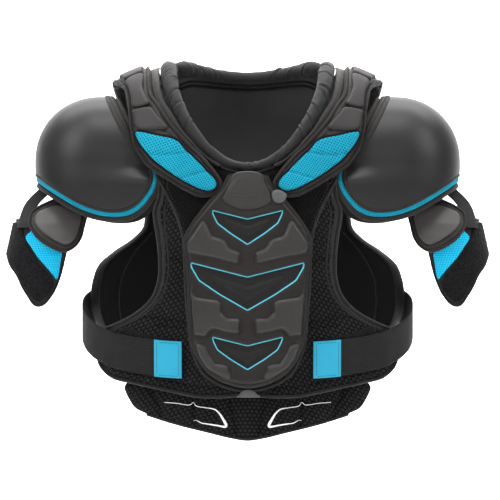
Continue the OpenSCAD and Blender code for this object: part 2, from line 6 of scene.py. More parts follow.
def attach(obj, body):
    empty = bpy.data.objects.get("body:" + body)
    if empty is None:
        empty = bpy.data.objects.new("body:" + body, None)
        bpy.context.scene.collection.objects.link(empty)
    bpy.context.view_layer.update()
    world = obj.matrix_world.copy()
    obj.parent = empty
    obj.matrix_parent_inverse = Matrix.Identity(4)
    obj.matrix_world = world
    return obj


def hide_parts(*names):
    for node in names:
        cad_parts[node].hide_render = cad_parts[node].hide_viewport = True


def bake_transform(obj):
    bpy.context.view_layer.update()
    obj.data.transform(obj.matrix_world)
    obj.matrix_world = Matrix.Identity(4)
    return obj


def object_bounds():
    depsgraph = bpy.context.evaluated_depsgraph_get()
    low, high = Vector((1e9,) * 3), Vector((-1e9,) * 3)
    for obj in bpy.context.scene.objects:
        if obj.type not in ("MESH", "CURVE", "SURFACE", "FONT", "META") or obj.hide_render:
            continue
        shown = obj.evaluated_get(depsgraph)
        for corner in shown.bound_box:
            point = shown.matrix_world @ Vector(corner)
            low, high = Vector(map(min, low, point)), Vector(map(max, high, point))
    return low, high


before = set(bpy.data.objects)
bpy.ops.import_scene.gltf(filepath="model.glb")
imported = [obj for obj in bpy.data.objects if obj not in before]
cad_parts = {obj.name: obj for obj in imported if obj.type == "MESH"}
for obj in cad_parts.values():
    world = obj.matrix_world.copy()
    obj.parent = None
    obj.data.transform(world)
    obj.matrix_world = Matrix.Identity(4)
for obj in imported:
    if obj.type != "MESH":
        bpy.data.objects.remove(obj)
CAD_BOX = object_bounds()
COL = bpy.context.scene.collection

# ============================================================ the body's surface, as in the CAD, in mm
BW, BFD, BBD, BH, BE, BSZ = 192.0, 100.0, 112.0, 110.0, 2 / 2.2, 1.9
def sg(v): return np.where(v < 0, -1.0, 1.0)
def zsh(x): return 32 - 0.45 * (np.sqrt(x * x + 3600) - 60)
def taper(z): return 1 - 0.12 * np.minimum(1, np.maximum(0, (-z - 150) / 300)) ** 1.5
def xof(p):
    s = np.sin(np.radians(p))
    return BW * sg(s) * np.abs(s) ** BE
def pof(x): return sg(x) * np.degrees(np.arcsin(np.minimum(1, np.abs(x) / BW) ** (1 / BE)))
def tof(x, z):
    x = np.asarray(x, float); z = np.asarray(z, float)
    zc = zsh(x) - BH
    return np.where(z >= zc, np.degrees(np.arccos(np.clip(np.maximum((z - zc) / BH, 0) ** (1 / BE), 0, 1))), 90 + (zc - z) / BSZ)
def base(p, t, sd):
    x = xof(p); zc = zsh(x) - BH; u = np.minimum(np.abs(t), 90)
    c = np.cos(np.radians(p)); s = sg(c) * sg(t) * sd
    z = np.where(np.abs(t) <= 90, zc + BH * np.maximum(np.cos(np.radians(u)), 0) ** BE, zc - (np.abs(t) - 90) * BSZ)
    b = np.where(s > 0, BFD, BBD) * np.abs(c) ** BE * taper(z)
    return np.stack([x + 0 * t, -s * b * np.sin(np.radians(u)) ** BE, z], -1)
def nrm(p, t, sd):
    d = 0.8; o = base(p, t, sd)
    n = np.cross(base(p + d, t, sd) - base(p - d, t, sd), base(p, t + d, sd) - base(p, t - d, sd))
    n = n / np.maximum(np.linalg.norm(n, axis=-1, keepdims=True), 1e-9)
    q = o.copy(); q[..., 2] = np.where(np.abs(t) < 90, o[..., 2] - zsh(o[..., 0]) + BH, 0)
    return np.where((n * q).sum(-1, keepdims=True) < 0, -n, n)
# flat pattern coordinates of the body: (x, s) with s = 1.9 t; sd is 1 on the front and -1 on the back
def body_map(Q, o, sd=1):
    p = pof(Q[:, 0]); t = Q[:, 1] / BSZ
    return base(p, t, sd) + np.asarray(o)[:, None] * nrm(p, t, sd)
def dom(P):
    P = np.asarray(P, float)
    return np.stack([P[:, 0], BSZ * tof(P[:, 0], P[:, 1])], 1)
def g(*a):
    """points of a 1.25 mm drawing grid with its origin up and left of the object, to x, z in mm"""
    P = np.asarray(a, float).reshape(-1, 2)
    return np.stack([(P[:, 0] - 247.5) * 1.25, (75 - P[:, 1]) * 1.25], 1)
def gd(*a): return dom(g(*a))
def rows_outline(rows):
    """left side down, right side up; each row is [x left, x right, z left, z right] or with a fifth item the z are t"""
    L, R = [], []
    for r in rows:
        for side, (x, v) in ((L, (r[0], r[2])), (R, (r[1], r[3]))):
            side.append([x, BSZ * v] if len(r) > 4 and r[4] else [x, BSZ * float(tof(x, v))])
    return np.array(L + R[::-1], float)

# ============================================================ curves
def cr(P, closed=False, step=3.0):
    P = np.asarray(P, float); n = len(P); out = []
    for i in range(n if closed else n - 1):
        if closed: a, b, c, d = P[(i - 1) % n], P[i], P[(i + 1) % n], P[(i + 2) % n]
        else: b, c = P[i], P[i + 1]; a = P[i - 1] if i else 2 * b - c; d = P[i + 2] if i + 2 < n else 2 * c - b
        da, db, dc = (max(np.linalg.norm(v), 1e-6) ** 0.5 for v in (b - a, c - b, d - c))
        t0, t1, t2, t3 = 0, da, da + db, da + db + dc
        t = np.linspace(t1, t2, 14, endpoint=False)[:, None]
        A1 = (t1 - t) / (t1 - t0) * a + (t - t0) / (t1 - t0) * b
        A2 = (t2 - t) / (t2 - t1) * b + (t - t1) / (t2 - t1) * c
        A3 = (t3 - t) / (t3 - t2) * c + (t - t2) / (t3 - t2) * d
        B1 = (t2 - t) / (t2 - t0) * A1 + (t - t0) / (t2 - t0) * A2
        B2 = (t3 - t) / (t3 - t1) * A2 + (t - t1) / (t3 - t1) * A3
        out.append((t2 - t) / (t2 - t1) * B1 + (t - t1) / (t2 - t1) * B2)
    out = np.concatenate(out + [P[:1] if closed else P[-1:]])
    return resample(out, step, closed)
def resample(P, step, closed=False):
    if closed and np.linalg.norm(P[0] - P[-1]) > 1e-6: P = np.concatenate([P, P[:1]])
    L = np.concatenate([[0], np.cumsum(np.linalg.norm(np.diff(P, axis=0), axis=1))])
    n = max(2, int(round(L[-1] / step)))
    s = np.linspace(0, L[-1], n + 1)
    R = np.stack([np.interp(s, L, P[:, k]) for k in range(P.shape[1])], 1)
    return R[:-1] if closed else R
def seg_dist(Q, L, closed=False):
    A = L; B = np.roll(L, -1, 0) if closed else L[1:]
    if not closed: A = L[:-1]
    best = np.full(len(Q), 1e9)
    D = B - A; dd = np.maximum((D * D).sum(1), 1e-9)
    for k in range(0, len(Q), 3000):
        q = Q[k:k + 3000, None, :]
        t = np.clip(((q - A) * D).sum(-1) / dd, 0, 1)
        e = q - (A + t[..., None] * D)
        best[k:k + 3000] = np.sqrt((e * e).sum(-1)).min(1)
    return best
def inside(Q, poly):
    A = poly; B = np.roll(poly, -1, 0); r = np.zeros(len(Q), bool)
    for k in range(0, len(Q), 4000):
        x, y = Q[k:k + 4000, 0:1], Q[k:k + 4000, 1:2]
        c = (A[:, 1] > y) != (B[:, 1] > y)
        with np.errstate(divide="ignore", invalid="ignore"):
            xi = (B[:, 0] - A[:, 0]) * (y - A[:, 1]) / (B[:, 1] - A[:, 1]) + A[:, 0]
        r[k:k + 4000] = (c & (x < xi)).sum(1) % 2 == 1
    return r
def signed(Q, poly):
    d = seg_dist(Q, poly, True)
    return np.where(inside(Q, poly), d, -d)
def inset(P, d):
    T = np.roll(P, -1, 0) - np.roll(P, 1, 0)
    T /= np.maximum(np.linalg.norm(T, axis=1, keepdims=True), 1e-9)
    area = 0.5 * np.sum(P[:, 0] * np.roll(P[:, 1], -1) - np.roll(P[:, 0], -1) * P[:, 1])
    N = np.stack([-T[:, 1], T[:, 0]], 1) * (1 if area > 0 else -1)
    return P + d * N
def S(a, b, v):
    u = np.clip((v - a) / (b - a), 0, 1)
    return u * u * (3 - 2 * u)
def noise(Q, scale, seed, n=9):
    r = np.random.RandomState(seed); f = np.zeros(len(Q))
    for i in range(n):
        k = r.normal(size=Q.shape[1]); k *= (0.6 + 0.8 * r.rand()) * 2 * math.pi / scale / np.linalg.norm(k)
        f += np.sin(Q @ k + r.rand() * 6.28)
    return f / math.sqrt(n)

# ============================================================ meshes
OBJ = {}
def make(name, V, F, uv=None, body=None, mat=None, mirror=False, smooth=True, mats=None, midx=None):
    V = np.asarray(V, float).copy()
    if mirror: V[:, 0] *= -1; F = [f[::-1] for f in F]
    me = bpy.data.meshes.new(name)
    me.from_pydata((V / 1000).tolist(), [], [list(map(int, f)) for f in F])
    if uv is not None:
        lay = me.uv_layers.new(name="UVMap")
        idx = np.empty(len(me.loops), int); me.loops.foreach_get("vertex_index", idx)
        lay.data.foreach_set("uv", (np.asarray(uv, float)[idx] / 100.0).ravel())
    me.polygons.foreach_set("use_smooth", [smooth] * len(me.polygons))
    o = bpy.data.objects.new(name, me); COL.objects.link(o)
    for m in (mats or ([mat] if mat else [])): me.materials.append(m)
    if midx is not None: me.polygons.foreach_set("material_index", list(midx))
    if body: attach(o, body)
    OBJ[name] = o
    return o

def fill(outline, h, rings=(0.5, 1.4, 3.0), extra=(), feats=()):
    """points and triangles inside an outline: a ring of points, rings inset from it, a hexagonal lattice, and lines of points"""
    B = outline; pts = [B]; keep_off = [(B, True, (rings[-1] if len(rings) else 0) + 0.55 * h)]
    for r in rings:
        q = inset(B, r); d = seg_dist(q, B, True)
        pts.append(q[(d > 0.86 * r) & inside(q, B)])
    for L, closed, offs in feats:
        for o in offs:
            if closed: q = inset(L, o)
            else:
                T = np.gradient(L, axis=0); T /= np.maximum(np.linalg.norm(T, axis=1, keepdims=True), 1e-9)
                q = L + o * np.stack([-T[:, 1], T[:, 0]], 1)
            d = seg_dist(q, B, True)
            pts.append(q[(d > (rings[-1] if len(rings) else 0) + 0.4) & inside(q, B)])
        keep_off.append((L, closed, max(abs(v) for v in offs) + 0.5 * h))
    lo, hi = B.min(0), B.max(0)
    ys = np.arange(lo[1], hi[1], h * 0.866); G = []
    for i, y in enumerate(ys):
        xs = np.arange(lo[0] + (i % 2) * h / 2, hi[0], h); G.append(np.stack([xs, np.full(len(xs), y)], 1))
    G = np.concatenate(G); G = G[inside(G, B)]
    for L, closed, r in keep_off: G = G[seg_dist(G, L, closed) > r]
    pts.append(G)
    for e in extra: pts.append(e)
    P = np.concatenate(pts); n = len(B)
    v, e, f, *_ = geometry.delaunay_2d_cdt([Vector(q) for q in P], [(i, (i + 1) % n) for i in range(n)], [], 0, 1e-4)
    v = np.array([tuple(q) for q in v]); f = np.array([t for t in f if len(t) == 3])
    a = v[f[:, 1]] - v[f[:, 0]]; b = v[f[:, 2]] - v[f[:, 0]]
    cr2 = a[:, 0] * b[:, 1] - a[:, 1] * b[:, 0]
    f = f[(np.abs(cr2) > 1e-5)]; c = v[f].mean(1); f = f[inside(c, B)]
    return v, f

def shell(name, outline, top, bot, h=3.0, mapping=body_map, sd=1, body=None, mat=None, mirror=False, rings=(0.5, 1.4, 3.0), feats=(), mats=None, pick=None, back_mat=None):
    """a closed pad over a flat outline: top and bot give its two faces' offsets from the flat points and their distance to the edge"""
    v, f = fill(outline, h, rings, feats=feats)
    d = seg_dist(v, outline, True)
    ot = top(v, d) if callable(top) else np.full(len(v), float(top))
    ob = bot(v, d) if callable(bot) else np.full(len(v), float(bot))
    kw = {"sd": sd} if mapping is body_map else {}
    T, Bm = mapping(v, ot, **kw), mapping(v, ob, **kw)
    n0 = np.cross(T[f[:, 1]] - T[f[:, 0]], T[f[:, 2]] - T[f[:, 0]])
    if ((T[f].mean(1) - Bm[f].mean(1)) * n0).sum(1).mean() < 0: f = f[:, ::-1]
    E = {}
    for t in f:
        for i in range(3): E[(t[i], t[(i + 1) % 3])] = 1
    N = len(v)
    rim = [(a, b) for (a, b) in E if (b, a) not in E]
    F = [tuple(t) for t in f] + [(t[0] + N, t[2] + N, t[1] + N) for t in f] + [(b, a, a + N, b + N) for a, b in rim]
    midx = None
    if mats:
        mi = pick(v[f].mean(1)).astype(int)
        midx = list(mi) + [mats.index(back_mat) if back_mat else 0] * len(f) + [0] * len(rim)
    o = make(name, np.concatenate([T, Bm]), F, np.concatenate([v, v]), body, mat, mirror, mats=mats, midx=midx)
    return o

def shade_low(o):
    """give the low part of a pad's wearer side a darker copy of its lining: painted shade, as in the shadowed armholes
    """
    o.data.materials.append(M["inner_dk"]); k = len(o.data.materials) - 1
    for pl in o.data.polygons:
        if pl.material_index == 1 and pl.center.z < -0.135: pl.material_index = k

def crown(lo, hi, w, low_edge=0.0):
    def fn(v, d):
        u = np.clip(d / w, 0, 1)
        return lo + (hi - lo) * (low_edge + (1 - low_edge) * np.sqrt(np.maximum(0, 1 - (1 - u) ** 2)))
    return fn
def groove(v, lines, width, depth):
    f = np.zeros(len(v))
    for L in lines:
        d = seg_dist(v, L)
        f = np.maximum(f, depth * np.exp(-(d / width) ** 2))
    return f

def tube(name, P, N, ra, rb=None, K=10, closed=False, body=None, mat=None, mirror=False, bumpf=None, cap=True):
    P = np.asarray(P, float); N = np.asarray(N, float); n = len(P)
    T = (np.roll(P, -1, 0) - np.roll(P, 1, 0)) if closed else np.gradient(P, axis=0)
    T /= np.maximum(np.linalg.norm(T, axis=1, keepdims=True), 1e-9)
    Vv = np.cross(T, N); Vv /= np.maximum(np.linalg.norm(Vv, axis=1, keepdims=True), 1e-9)
    U = np.cross(Vv, T)
    ra = np.broadcast_to(np.asarray(ra, float), n); rb = ra if rb is None else np.broadcast_to(np.asarray(rb, float), n)
    a = np.arange(K) / K * 2 * math.pi
    L = np.concatenate([[0], np.cumsum(np.linalg.norm(np.diff(P, axis=0), axis=1))])
    sc = np.ones((n, K)) if bumpf is None else bumpf(L[:, None] + 0 * a[None], a[None] + 0 * L[:, None])
    V = P[:, None] + (ra[:, None] * np.cos(a) * sc)[..., None] * U[:, None] + (rb[:, None] * np.sin(a) * sc)[..., None] * Vv[:, None]
    V = V.reshape(-1, 3); uv = np.stack([np.repeat(L, K), np.tile(a * float(ra.mean()), n)], 1)
    F = []
    for i in range(n if closed else n - 1):
        m = (i + 1) % n
        for j in range(K):
            k = (j + 1) % K
            F.append((i * K + j, m * K + j, m * K + k, i * K + k))
    if not closed and cap:
        V = np.concatenate([V, [P[0] - T[0] * ra[0] * 0.5], [P[-1] + T[-1] * ra[-1] * 0.5]]); uv = np.concatenate([uv, [[0, 0], [L[-1], 0]]])
        c0, c1 = n * K, n * K + 1
        F += [(c0, j, (j + 1) % K) for j in range(K)] + [(c1, (n - 1) * K + (j + 1) % K, (n - 1) * K + j) for j in range(K)]
    V0 = V; q = (V0[F[0][1]] - V0[F[0][0]]); w = V0[F[0][2]] - V0[F[0][0]]
    if np.dot(np.cross(q, w), V0[F[0][0]] - P[0]) < 0: F = [f[::-1] for f in F]
    return make(name, V, F, uv, body, mat, mirror)

def on_body(L, o, sd=1):
    p = pof(L[:, 0]); t = L[:, 1] / BSZ
    N = nrm(p, t, sd)
    return base(p, t, sd) + np.asarray(o if np.ndim(o) else np.full(len(L), float(o)))[:, None] * N, N

def piping(name, L, o, r, sd=1, closed=False, body=None, mat=None, mirror=False, K=8, flat=1.0):
    P, N = on_body(L, o, sd)
    return tube(name, P, N, r * flat, r, K, closed, body, mat, mirror)

def stitches(name, runs, body, mat, mirror=False, length=2.6, gap=1.7, r=0.42):
    """short rounded thread lengths along lines; each run is (points, normals)"""
    V, F, c = [], [], 0
    for P, N in runs:
        L = np.concatenate([[0], np.cumsum(np.linalg.norm(np.diff(P, axis=0), axis=1))])
        s = np.arange(gap, L[-1] - length, length + gap)
        for s0 in s:
            q = [np.array([np.interp(s0 + f * length, L, P[:, k]) for k in range(3)]) for f in (0, 0.2, 0.8, 1)]
            m = np.array([np.interp(s0 + length / 2, L, N[:, k]) for k in range(3)]); m /= np.linalg.norm(m)
            T = q[3] - q[0]; T /= max(np.linalg.norm(T), 1e-9); B = np.cross(T, m)
            for i, (pt, rr, up) in enumerate(zip(q, (0.35, 1, 1, 0.35), (-0.25, 0.15, 0.15, -0.25))):
                for j in range(5):
                    a = j / 5 * 2 * math.pi
                    V.append(pt + m * (r * up) + r * rr * (math.cos(a) * m + math.sin(a) * B))
            for i in range(3):
                for j in range(5):
                    k = (j + 1) % 5; F.append((c + i * 5 + j, c + i * 5 + k, c + i * 5 + 5 + k, c + i * 5 + 5 + j))
            F.append((c, c + 4, c + 3, c + 2, c + 1)); F.append((c + 15, c + 16, c + 17, c + 18, c + 19))
            c += 20
    if not V: return None
    return make(name, V, F, None, body, mat, mirror)

# ============================================================ materials
def node(nt, kind, x=0, y=0, **kw):
    n = nt.nodes.new(kind); n.location = (x, y)
    for k, v in kw.items(): setattr(n, k, v)
    return n
def new_mat(name, rough=0.6, spec=0.5, sheen=0.0, sheen_rough=0.5, coat=0.0, coat_rough=0.3, metallic=0.0):
    m = bpy.data.materials.new(name); m.use_nodes = True; nt = m.node_tree; b = nt.nodes["Principled BSDF"]
    b.inputs["Roughness"].default_value = rough; b.inputs["Specular IOR Level"].default_value = spec
    b.inputs["Sheen Weight"].default_value = sheen; b.inputs["Sheen Roughness"].default_value = sheen_rough
    b.inputs["Coat Weight"].default_value = coat; b.inputs["Coat Roughness"].default_value = coat_rough
    b.inputs["Metallic"].default_value = metallic
    return m, nt, b
def tex_uv(nt): return node(nt, "ShaderNodeTexCoord").outputs["UV"]
def tex_obj(nt): return node(nt, "ShaderNodeTexCoord").outputs["Object"]
def math_(nt, op, a, b=None, clamp=False):
    n = node(nt, "ShaderNodeMath", operation=op); n.use_clamp = clamp
    for i, v in enumerate((a, b)):
        if v is None: continue
        if isinstance(v, (int, float)): n.inputs[i].default_value = v
        else: nt.links.new(v, n.inputs[i])
    return n.outputs[0]
def ramp(nt, fac, stops):
    n = node(nt, "ShaderNodeValToRGB"); e = n.color_ramp.elements
    while len(e) < len(stops): e.new(0.5)
    for k, (p, c) in zip(e, stops): k.position = p; k.color = (*c, 1) if len(c) == 3 else c
    nt.links.new(fac, n.inputs[0]); return n.outputs[0]
def noise_t(nt, vec, scale, detail=3, rough=0.5, dist=0.0):
    n = node(nt, "ShaderNodeTexNoise"); n.inputs["Scale"].default_value = scale; n.inputs["Detail"].default_value = detail
    n.inputs["Roughness"].default_value = rough; n.inputs["Distortion"].default_value = dist
    nt.links.new(vec, n.inputs["Vector"]); return n.outputs["Fac"]
def voro(nt, vec, scale, feature="F1"):
    n = node(nt, "ShaderNodeTexVoronoi", feature=feature); n.inputs["Scale"].default_value = scale
    nt.links.new(vec, n.inputs["Vector"]); return n.outputs["Distance"]
def waves(nt, uv, pitch, angles, ph=0.0):
    """sum of cosines across the cloth; pitch in mm; the UVs are in units of 100 mm"""
    tot = None
    for a in angles:
        d = node(nt, "ShaderNodeVectorMath", operation="DOT_PRODUCT"); k = 2 * math.pi / pitch * 100
        d.inputs[1].default_value = (k * math.cos(math.radians(a)), k * math.sin(math.radians(a)), 0)
        nt.links.new(uv, d.inputs[0]); c = math_(nt, "COSINE", math_(nt, "ADD", d.outputs["Value"], ph))
        tot = c if tot is None else math_(nt, "ADD", tot, c)
    return tot
def bump(nt, b, h, dist, strength=1.0, prev=None):
    n = node(nt, "ShaderNodeBump"); n.inputs["Distance"].default_value = dist; n.inputs["Strength"].default_value = strength
    nt.links.new(h, n.inputs["Height"])
    if prev is not None: nt.links.new(prev, n.inputs["Normal"])
    nt.links.new(n.outputs[0], b.inputs["Normal"]); return n.outputs[0]
def rough_var(nt, b, f, lo, hi):
    n = node(nt, "ShaderNodeMapRange"); n.inputs["To Min"].default_value = lo; n.inputs["To Max"].default_value = hi
    nt.links.new(f, n.inputs["Value"]); nt.links.new(n.outputs[0], b.inputs["Roughness"])

def hexmesh(name, dark, light, pitch=5.4, depth=0.0007, sheen=0.25, fine=True, cells=False):
    m, nt, b = new_mat(name, 0.75, 0.09, sheen, 0.5)
    uv = tex_uv(nt); w = waves(nt, uv, pitch * 0.866, (30, 90, 150))
    h = node(nt, "ShaderNodeMapRange"); h.interpolation_type = "SMOOTHSTEP"
    h.inputs["From Min"].default_value, h.inputs["From Max"].default_value = (-1.25, 0.9) if cells else (1.35, -0.35)
    nt.links.new(w, h.inputs["Value"]); hh = h.outputs[0]
    f = noise_t(nt, tex_obj(nt), 900, 2); l = noise_t(nt, tex_obj(nt), 22, 2)
    s = math_(nt, "ADD", math_(nt, "MULTIPLY", hh, 0.75), math_(nt, "MULTIPLY", math_(nt, "SUBTRACT", l, 0.5), 0.35))
    s = math_(nt, "ADD", s, math_(nt, "MULTIPLY", math_(nt, "SUBTRACT", f, 0.5), 0.35))
    nt.links.new(ramp(nt, s, [(0.0, dark), (0.85, light), (1.0, tuple(min(1, c * 1.25) for c in light))]), b.inputs["Base Color"])
    p = bump(nt, b, hh, depth)
    bump(nt, b, f, 0.00025, 0.6, p); rough_var(nt, b, f, 0.62, 0.88)
    return m
def weave(name, base_c, hi_c, pitch=0.9, depth=0.00018, sheen=0.3, rough=0.8, mottle=0.4, angs=(0, 90)):
    m, nt, b = new_mat(name, rough, 0.22, sheen, 0.45)
    uv = tex_uv(nt); w = waves(nt, uv, pitch, angs); l = noise_t(nt, tex_obj(nt), 30, 3); f = noise_t(nt, tex_obj(nt), 1500, 2)
    s = math_(nt, "ADD", math_(nt, "MULTIPLY", math_(nt, "ADD", w, 2), 0.13), math_(nt, "MULTIPLY", l, mottle))
    nt.links.new(ramp(nt, s, [(0.1, base_c), (0.9, hi_c)]), b.inputs["Base Color"])
    p = bump(nt, b, w, depth, 0.7); bump(nt, b, f, 0.0002, 0.5, p); rough_var(nt, b, l, rough - 0.1, rough + 0.08)
    return m
def grain(name, base_c, hi_c, scale=420, depth=0.00022, rough=0.55, spec=0.45, coat=0.0, var=0.12, sheen=0.0):
    m, nt, b = new_mat(name, rough, spec, sheen, 0.5, coat, 0.35)
    o = tex_obj(nt); v = voro(nt, o, scale); f = noise_t(nt, o, scale * 2.2, 2); l = noise_t(nt, o, 14, 4)
    s = math_(nt, "ADD", math_(nt, "MULTIPLY", v, 0.35), math_(nt, "MULTIPLY", l, 0.8))
    nt.links.new(ramp(nt, s, [(0.15, base_c), (0.9, hi_c)]), b.inputs["Base Color"])
    p = bump(nt, b, v, depth, 0.6); bump(nt, b, f, depth * 0.6, 0.4, p); rough_var(nt, b, l, rough - var / 2, rough + var / 2)
    return m
def rib(name, base_c, hi_c, pitch=1.6, ang=90, sheen=0.35, depth=0.0003):
    m, nt, b = new_mat(name, 0.7, 0.18, sheen, 0.45)
    uv = tex_uv(nt); w = waves(nt, uv, pitch, (ang,)); x = waves(nt, uv, 0.8, (ang + 90,)); l = noise_t(nt, tex_obj(nt), 40, 3)
    s = math_(nt, "ADD", math_(nt, "MULTIPLY", math_(nt, "ADD", w, 1), 0.25), math_(nt, "MULTIPLY", l, 0.5))
    nt.links.new(ramp(nt, s, [(0.15, base_c), (0.9, hi_c)]), b.inputs["Base Color"])
    p = bump(nt, b, w, depth, 0.8); bump(nt, b, x, 0.0001, 0.5, p)
    return m
def fuzz(name, base_c, hi_c):
    m, nt, b = new_mat(name, 0.95, 0.08, 0.05, 0.4)
    o = tex_obj(nt); f = noise_t(nt, o, 520, 4, 0.7); v = voro(nt, o, 650)
    s = math_(nt, "ADD", math_(nt, "MULTIPLY", f, 0.9), math_(nt, "MULTIPLY", v, 0.25))
    nt.links.new(ramp(nt, s, [(0.42, base_c), (0.66, hi_c)]), b.inputs["Base Color"]); p = bump(nt, b, f, 0.0012, 0.9)
    return m

M = {}
M["mesh"] = hexmesh("spacer_mesh", (0.0012, 0.0012, 0.0013), (0.018, 0.018, 0.019), 5.6, 0.0011, 0.02, True, True)
M["mesh2"] = hexmesh("spacer_mesh_fine", (0.0008, 0.0008, 0.0008), (0.0080, 0.0080, 0.0082), 3.8, 0.0007, 0.01, True, True)
M["blue"] = hexmesh("blue_mesh", (0.002, 0.13, 0.22), (0.012, 0.355, 0.50), 3.1, 0.0006, 0.02)
M["blue_lt"] = hexmesh("blue_mesh_light", (0.004, 0.31, 0.54), (0.02, 0.60, 0.93), 3.3, 0.0006, 0.02)
M["lining"] = weave("lining", (0.0055, 0.0055, 0.006), (0.020, 0.020, 0.021), 1.1, 0.0001, 0.05, 0.55)
M["inner"] = weave("inner_lining", (0.019, 0.019, 0.020), (0.052, 0.052, 0.054), 1.3, 0.0001, 0.04, 0.85)
# a darker copy of the inner lining: painted shade for the low wearer side round the armholes
M["inner_dk"] = weave("inner_lining_painted_shade", (0.0015, 0.0015, 0.0016), (0.0065, 0.0065, 0.0068), 1.3, 0.0001, 0.0, 0.95)
M["smooth"] = weave("smooth_cover", (0.006, 0.006, 0.006), (0.018, 0.0175, 0.017), 0.9, 0.0001, 0.05, 0.6)
M["bind"] = weave("binding", (0.0085, 0.0074, 0.0068), (0.029, 0.0255, 0.0235), 0.8, 0.0002, 0.05, 0.6)
M["eva"] = grain("moulded_foam", (0.0088, 0.0073, 0.0063), (0.0180, 0.0152, 0.0134), 520, 0.00012, 0.42, 0.27)
M["eva_hi"] = grain("moulded_foam_raised", (0.0185, 0.0172, 0.0163), (0.034, 0.0320, 0.0305), 520, 0.00012, 0.42, 0.36)
M["recess"] = grain("recess", (0.004, 0.0038, 0.0038), (0.011, 0.0105, 0.0105), 520, 0.00012, 0.55, 0.25)
M["leather"] = grain("cover_grain", (0.0105, 0.0090, 0.0084), (0.025, 0.0218, 0.0200), 620, 0.0003, 0.52, 0.22)
M["segment"] = grain("segment_grain", (0.019, 0.0172, 0.0172), (0.040, 0.0365, 0.0362), 700, 0.00025, 0.55, 0.24)
M["cap"] = grain("cap_plastic", (0.0080, 0.0075, 0.0075), (0.0140, 0.0134, 0.0134), 900, 0.00006, 0.46, 0.32, 0.0)
M["plate"] = grain("arm_plate", (0.047, 0.0435, 0.0428), (0.080, 0.0745, 0.073), 700, 0.0001, 0.50, 0.36, 0.0)
M["web"] = rib("webbing", (0.006, 0.006, 0.006), (0.028, 0.027, 0.027), 1.5, 0, 0.06)
M["elastic"] = rib("elastic", (0.0040, 0.0040, 0.0040), (0.0145, 0.0145, 0.0148), 2.2, 90, 0.02)
M["fuzz"] = fuzz("brushed_loop", (0.0008, 0.0008, 0.0009), (0.0135, 0.0138, 0.0148))
M["tab"] = weave("strap_tab", (0.012, 0.335, 0.53), (0.04, 0.455, 0.67), 1.0, 0.0002, 0.02, 0.5, 0.3)
M["rubber"] = grain("rubber_tab", (0.045, 0.046, 0.046), (0.095, 0.098, 0.098), 500, 0.0002, 0.5)
M["line"] = grain("blue_line", (0.035, 0.36, 0.48), (0.075, 0.50, 0.62), 500, 0.00008, 0.42)
M["white"] = grain("white_line", (0.78, 0.79, 0.80), (0.93, 0.93, 0.93), 600, 0.00008, 0.35)
M["thread"] = weave("thread", (0.018, 0.0165, 0.016), (0.055, 0.051, 0.05), 0.5, 0.0001, 0.1, 0.6)
M["thread_dk"] = weave("thread_dark", (0.004, 0.004, 0.004), (0.016, 0.016, 0.016), 0.5, 0.0001, 0.05, 0.6)
M["acetal"] = grain("acetal", (0.007, 0.007, 0.007), (0.018, 0.018, 0.018), 700, 0.00005, 0.35)
M["seam"] = weave("seam_dark", (0.0015, 0.0015, 0.0015), (0.006, 0.006, 0.006), 0.8, 0.0001, 0.0, 0.85)

SIDES = (("right", False), ("left", True))

# ============================================================ front half
front_rows = [[-152, -111, 1, 1, 1], [-152, -110, 12, 12, 1], [-151, -107, -22, -22], [-142, -92, -54, -54], [-132, -80, -74, -74],
  [-123, -64, -92, -92], [-115, -45, -108, -108], [-111, -27, -118, -118], [-108.5, -1, -124, -124]]
fl = rows_outline(front_rows)
nl = len(front_rows)
front_left = np.concatenate([fl[:nl], dom([[-107, -140], [-109, -156], [-113.5, -168], [-109, -207], [-107, -233], [-108.5, -258], [-116, -278], [-127, -291], [-143, -303], [-162, -313], [-179, -322]])])
front_bot = dom([[-183.5, -331], [-183, -350], [-180, -364], [-167, -378.5], [-140, -385.5], [-116, -390.5], [-85, -397], [-60, -401.5], [-30, -401.5], [-1, -400.5]])
front_in = fl[nl:]
FRONT = resample(np.concatenate([cr(front_left, step=3), cr(front_bot, step=3), resample(np.array([front_bot[-1], front_in[0]]), 3), cr(front_in, step=3), resample(np.array([front_in[-1], front_left[0]]), 3)]), 3.0, True)
arm_edge = cr(front_left[2:], step=2.5)
arm_in = dom([[-142, -50], [-128, -74], [-114, -98], [-101, -118], [-97.5, -140], [-99, -158], [-101.5, -172], [-98.5, -207], [-96.5, -233], [-98, -256], [-105, -276], [-116, -291], [-132, -303.5], [-152, -314], [-176, -326]])
arm_in = cr(arm_in, step=2.5)
chest_pipe = cr(gd(160.5, 178, 165, 186, 171, 197.5, 179, 216, 184.8, 236, 186.6, 262, 187.6, 290, 190, 323, 192.4, 345, 198.3, 362, 207, 375.5, 226, 386.4, 247.5, 391.6), step=2.5)
g1 = cr(gd(157, 256.5, 168, 257.5, 178, 259.5, 187, 262.8), step=2.5)
g2 = cr(gd(146, 316.5, 158, 318, 175, 320.5, 190, 322), step=2.5)
g3 = cr(gd(160, 326, 175, 327, 191, 328.5), step=2.5)
low_seam = cr(dom([[-178, -352], [-164, -365], [-140, -372], [-112, -377], [-80, -385], [-50, -389], [-10, -391]]), step=2.5)
top_seam = cr(rows_outline([[-101.5, -101.5, 4, 4, 1], [-100, -100, 14, 14, 1], [-97, -97, -22, -22], [-83, -83, -50, -50], [-71, -71, -70, -70], [-56, -56, -87, -87], [-40, -40, -101, -101]])[:7] + np.array([-9, 0]), step=2.5)
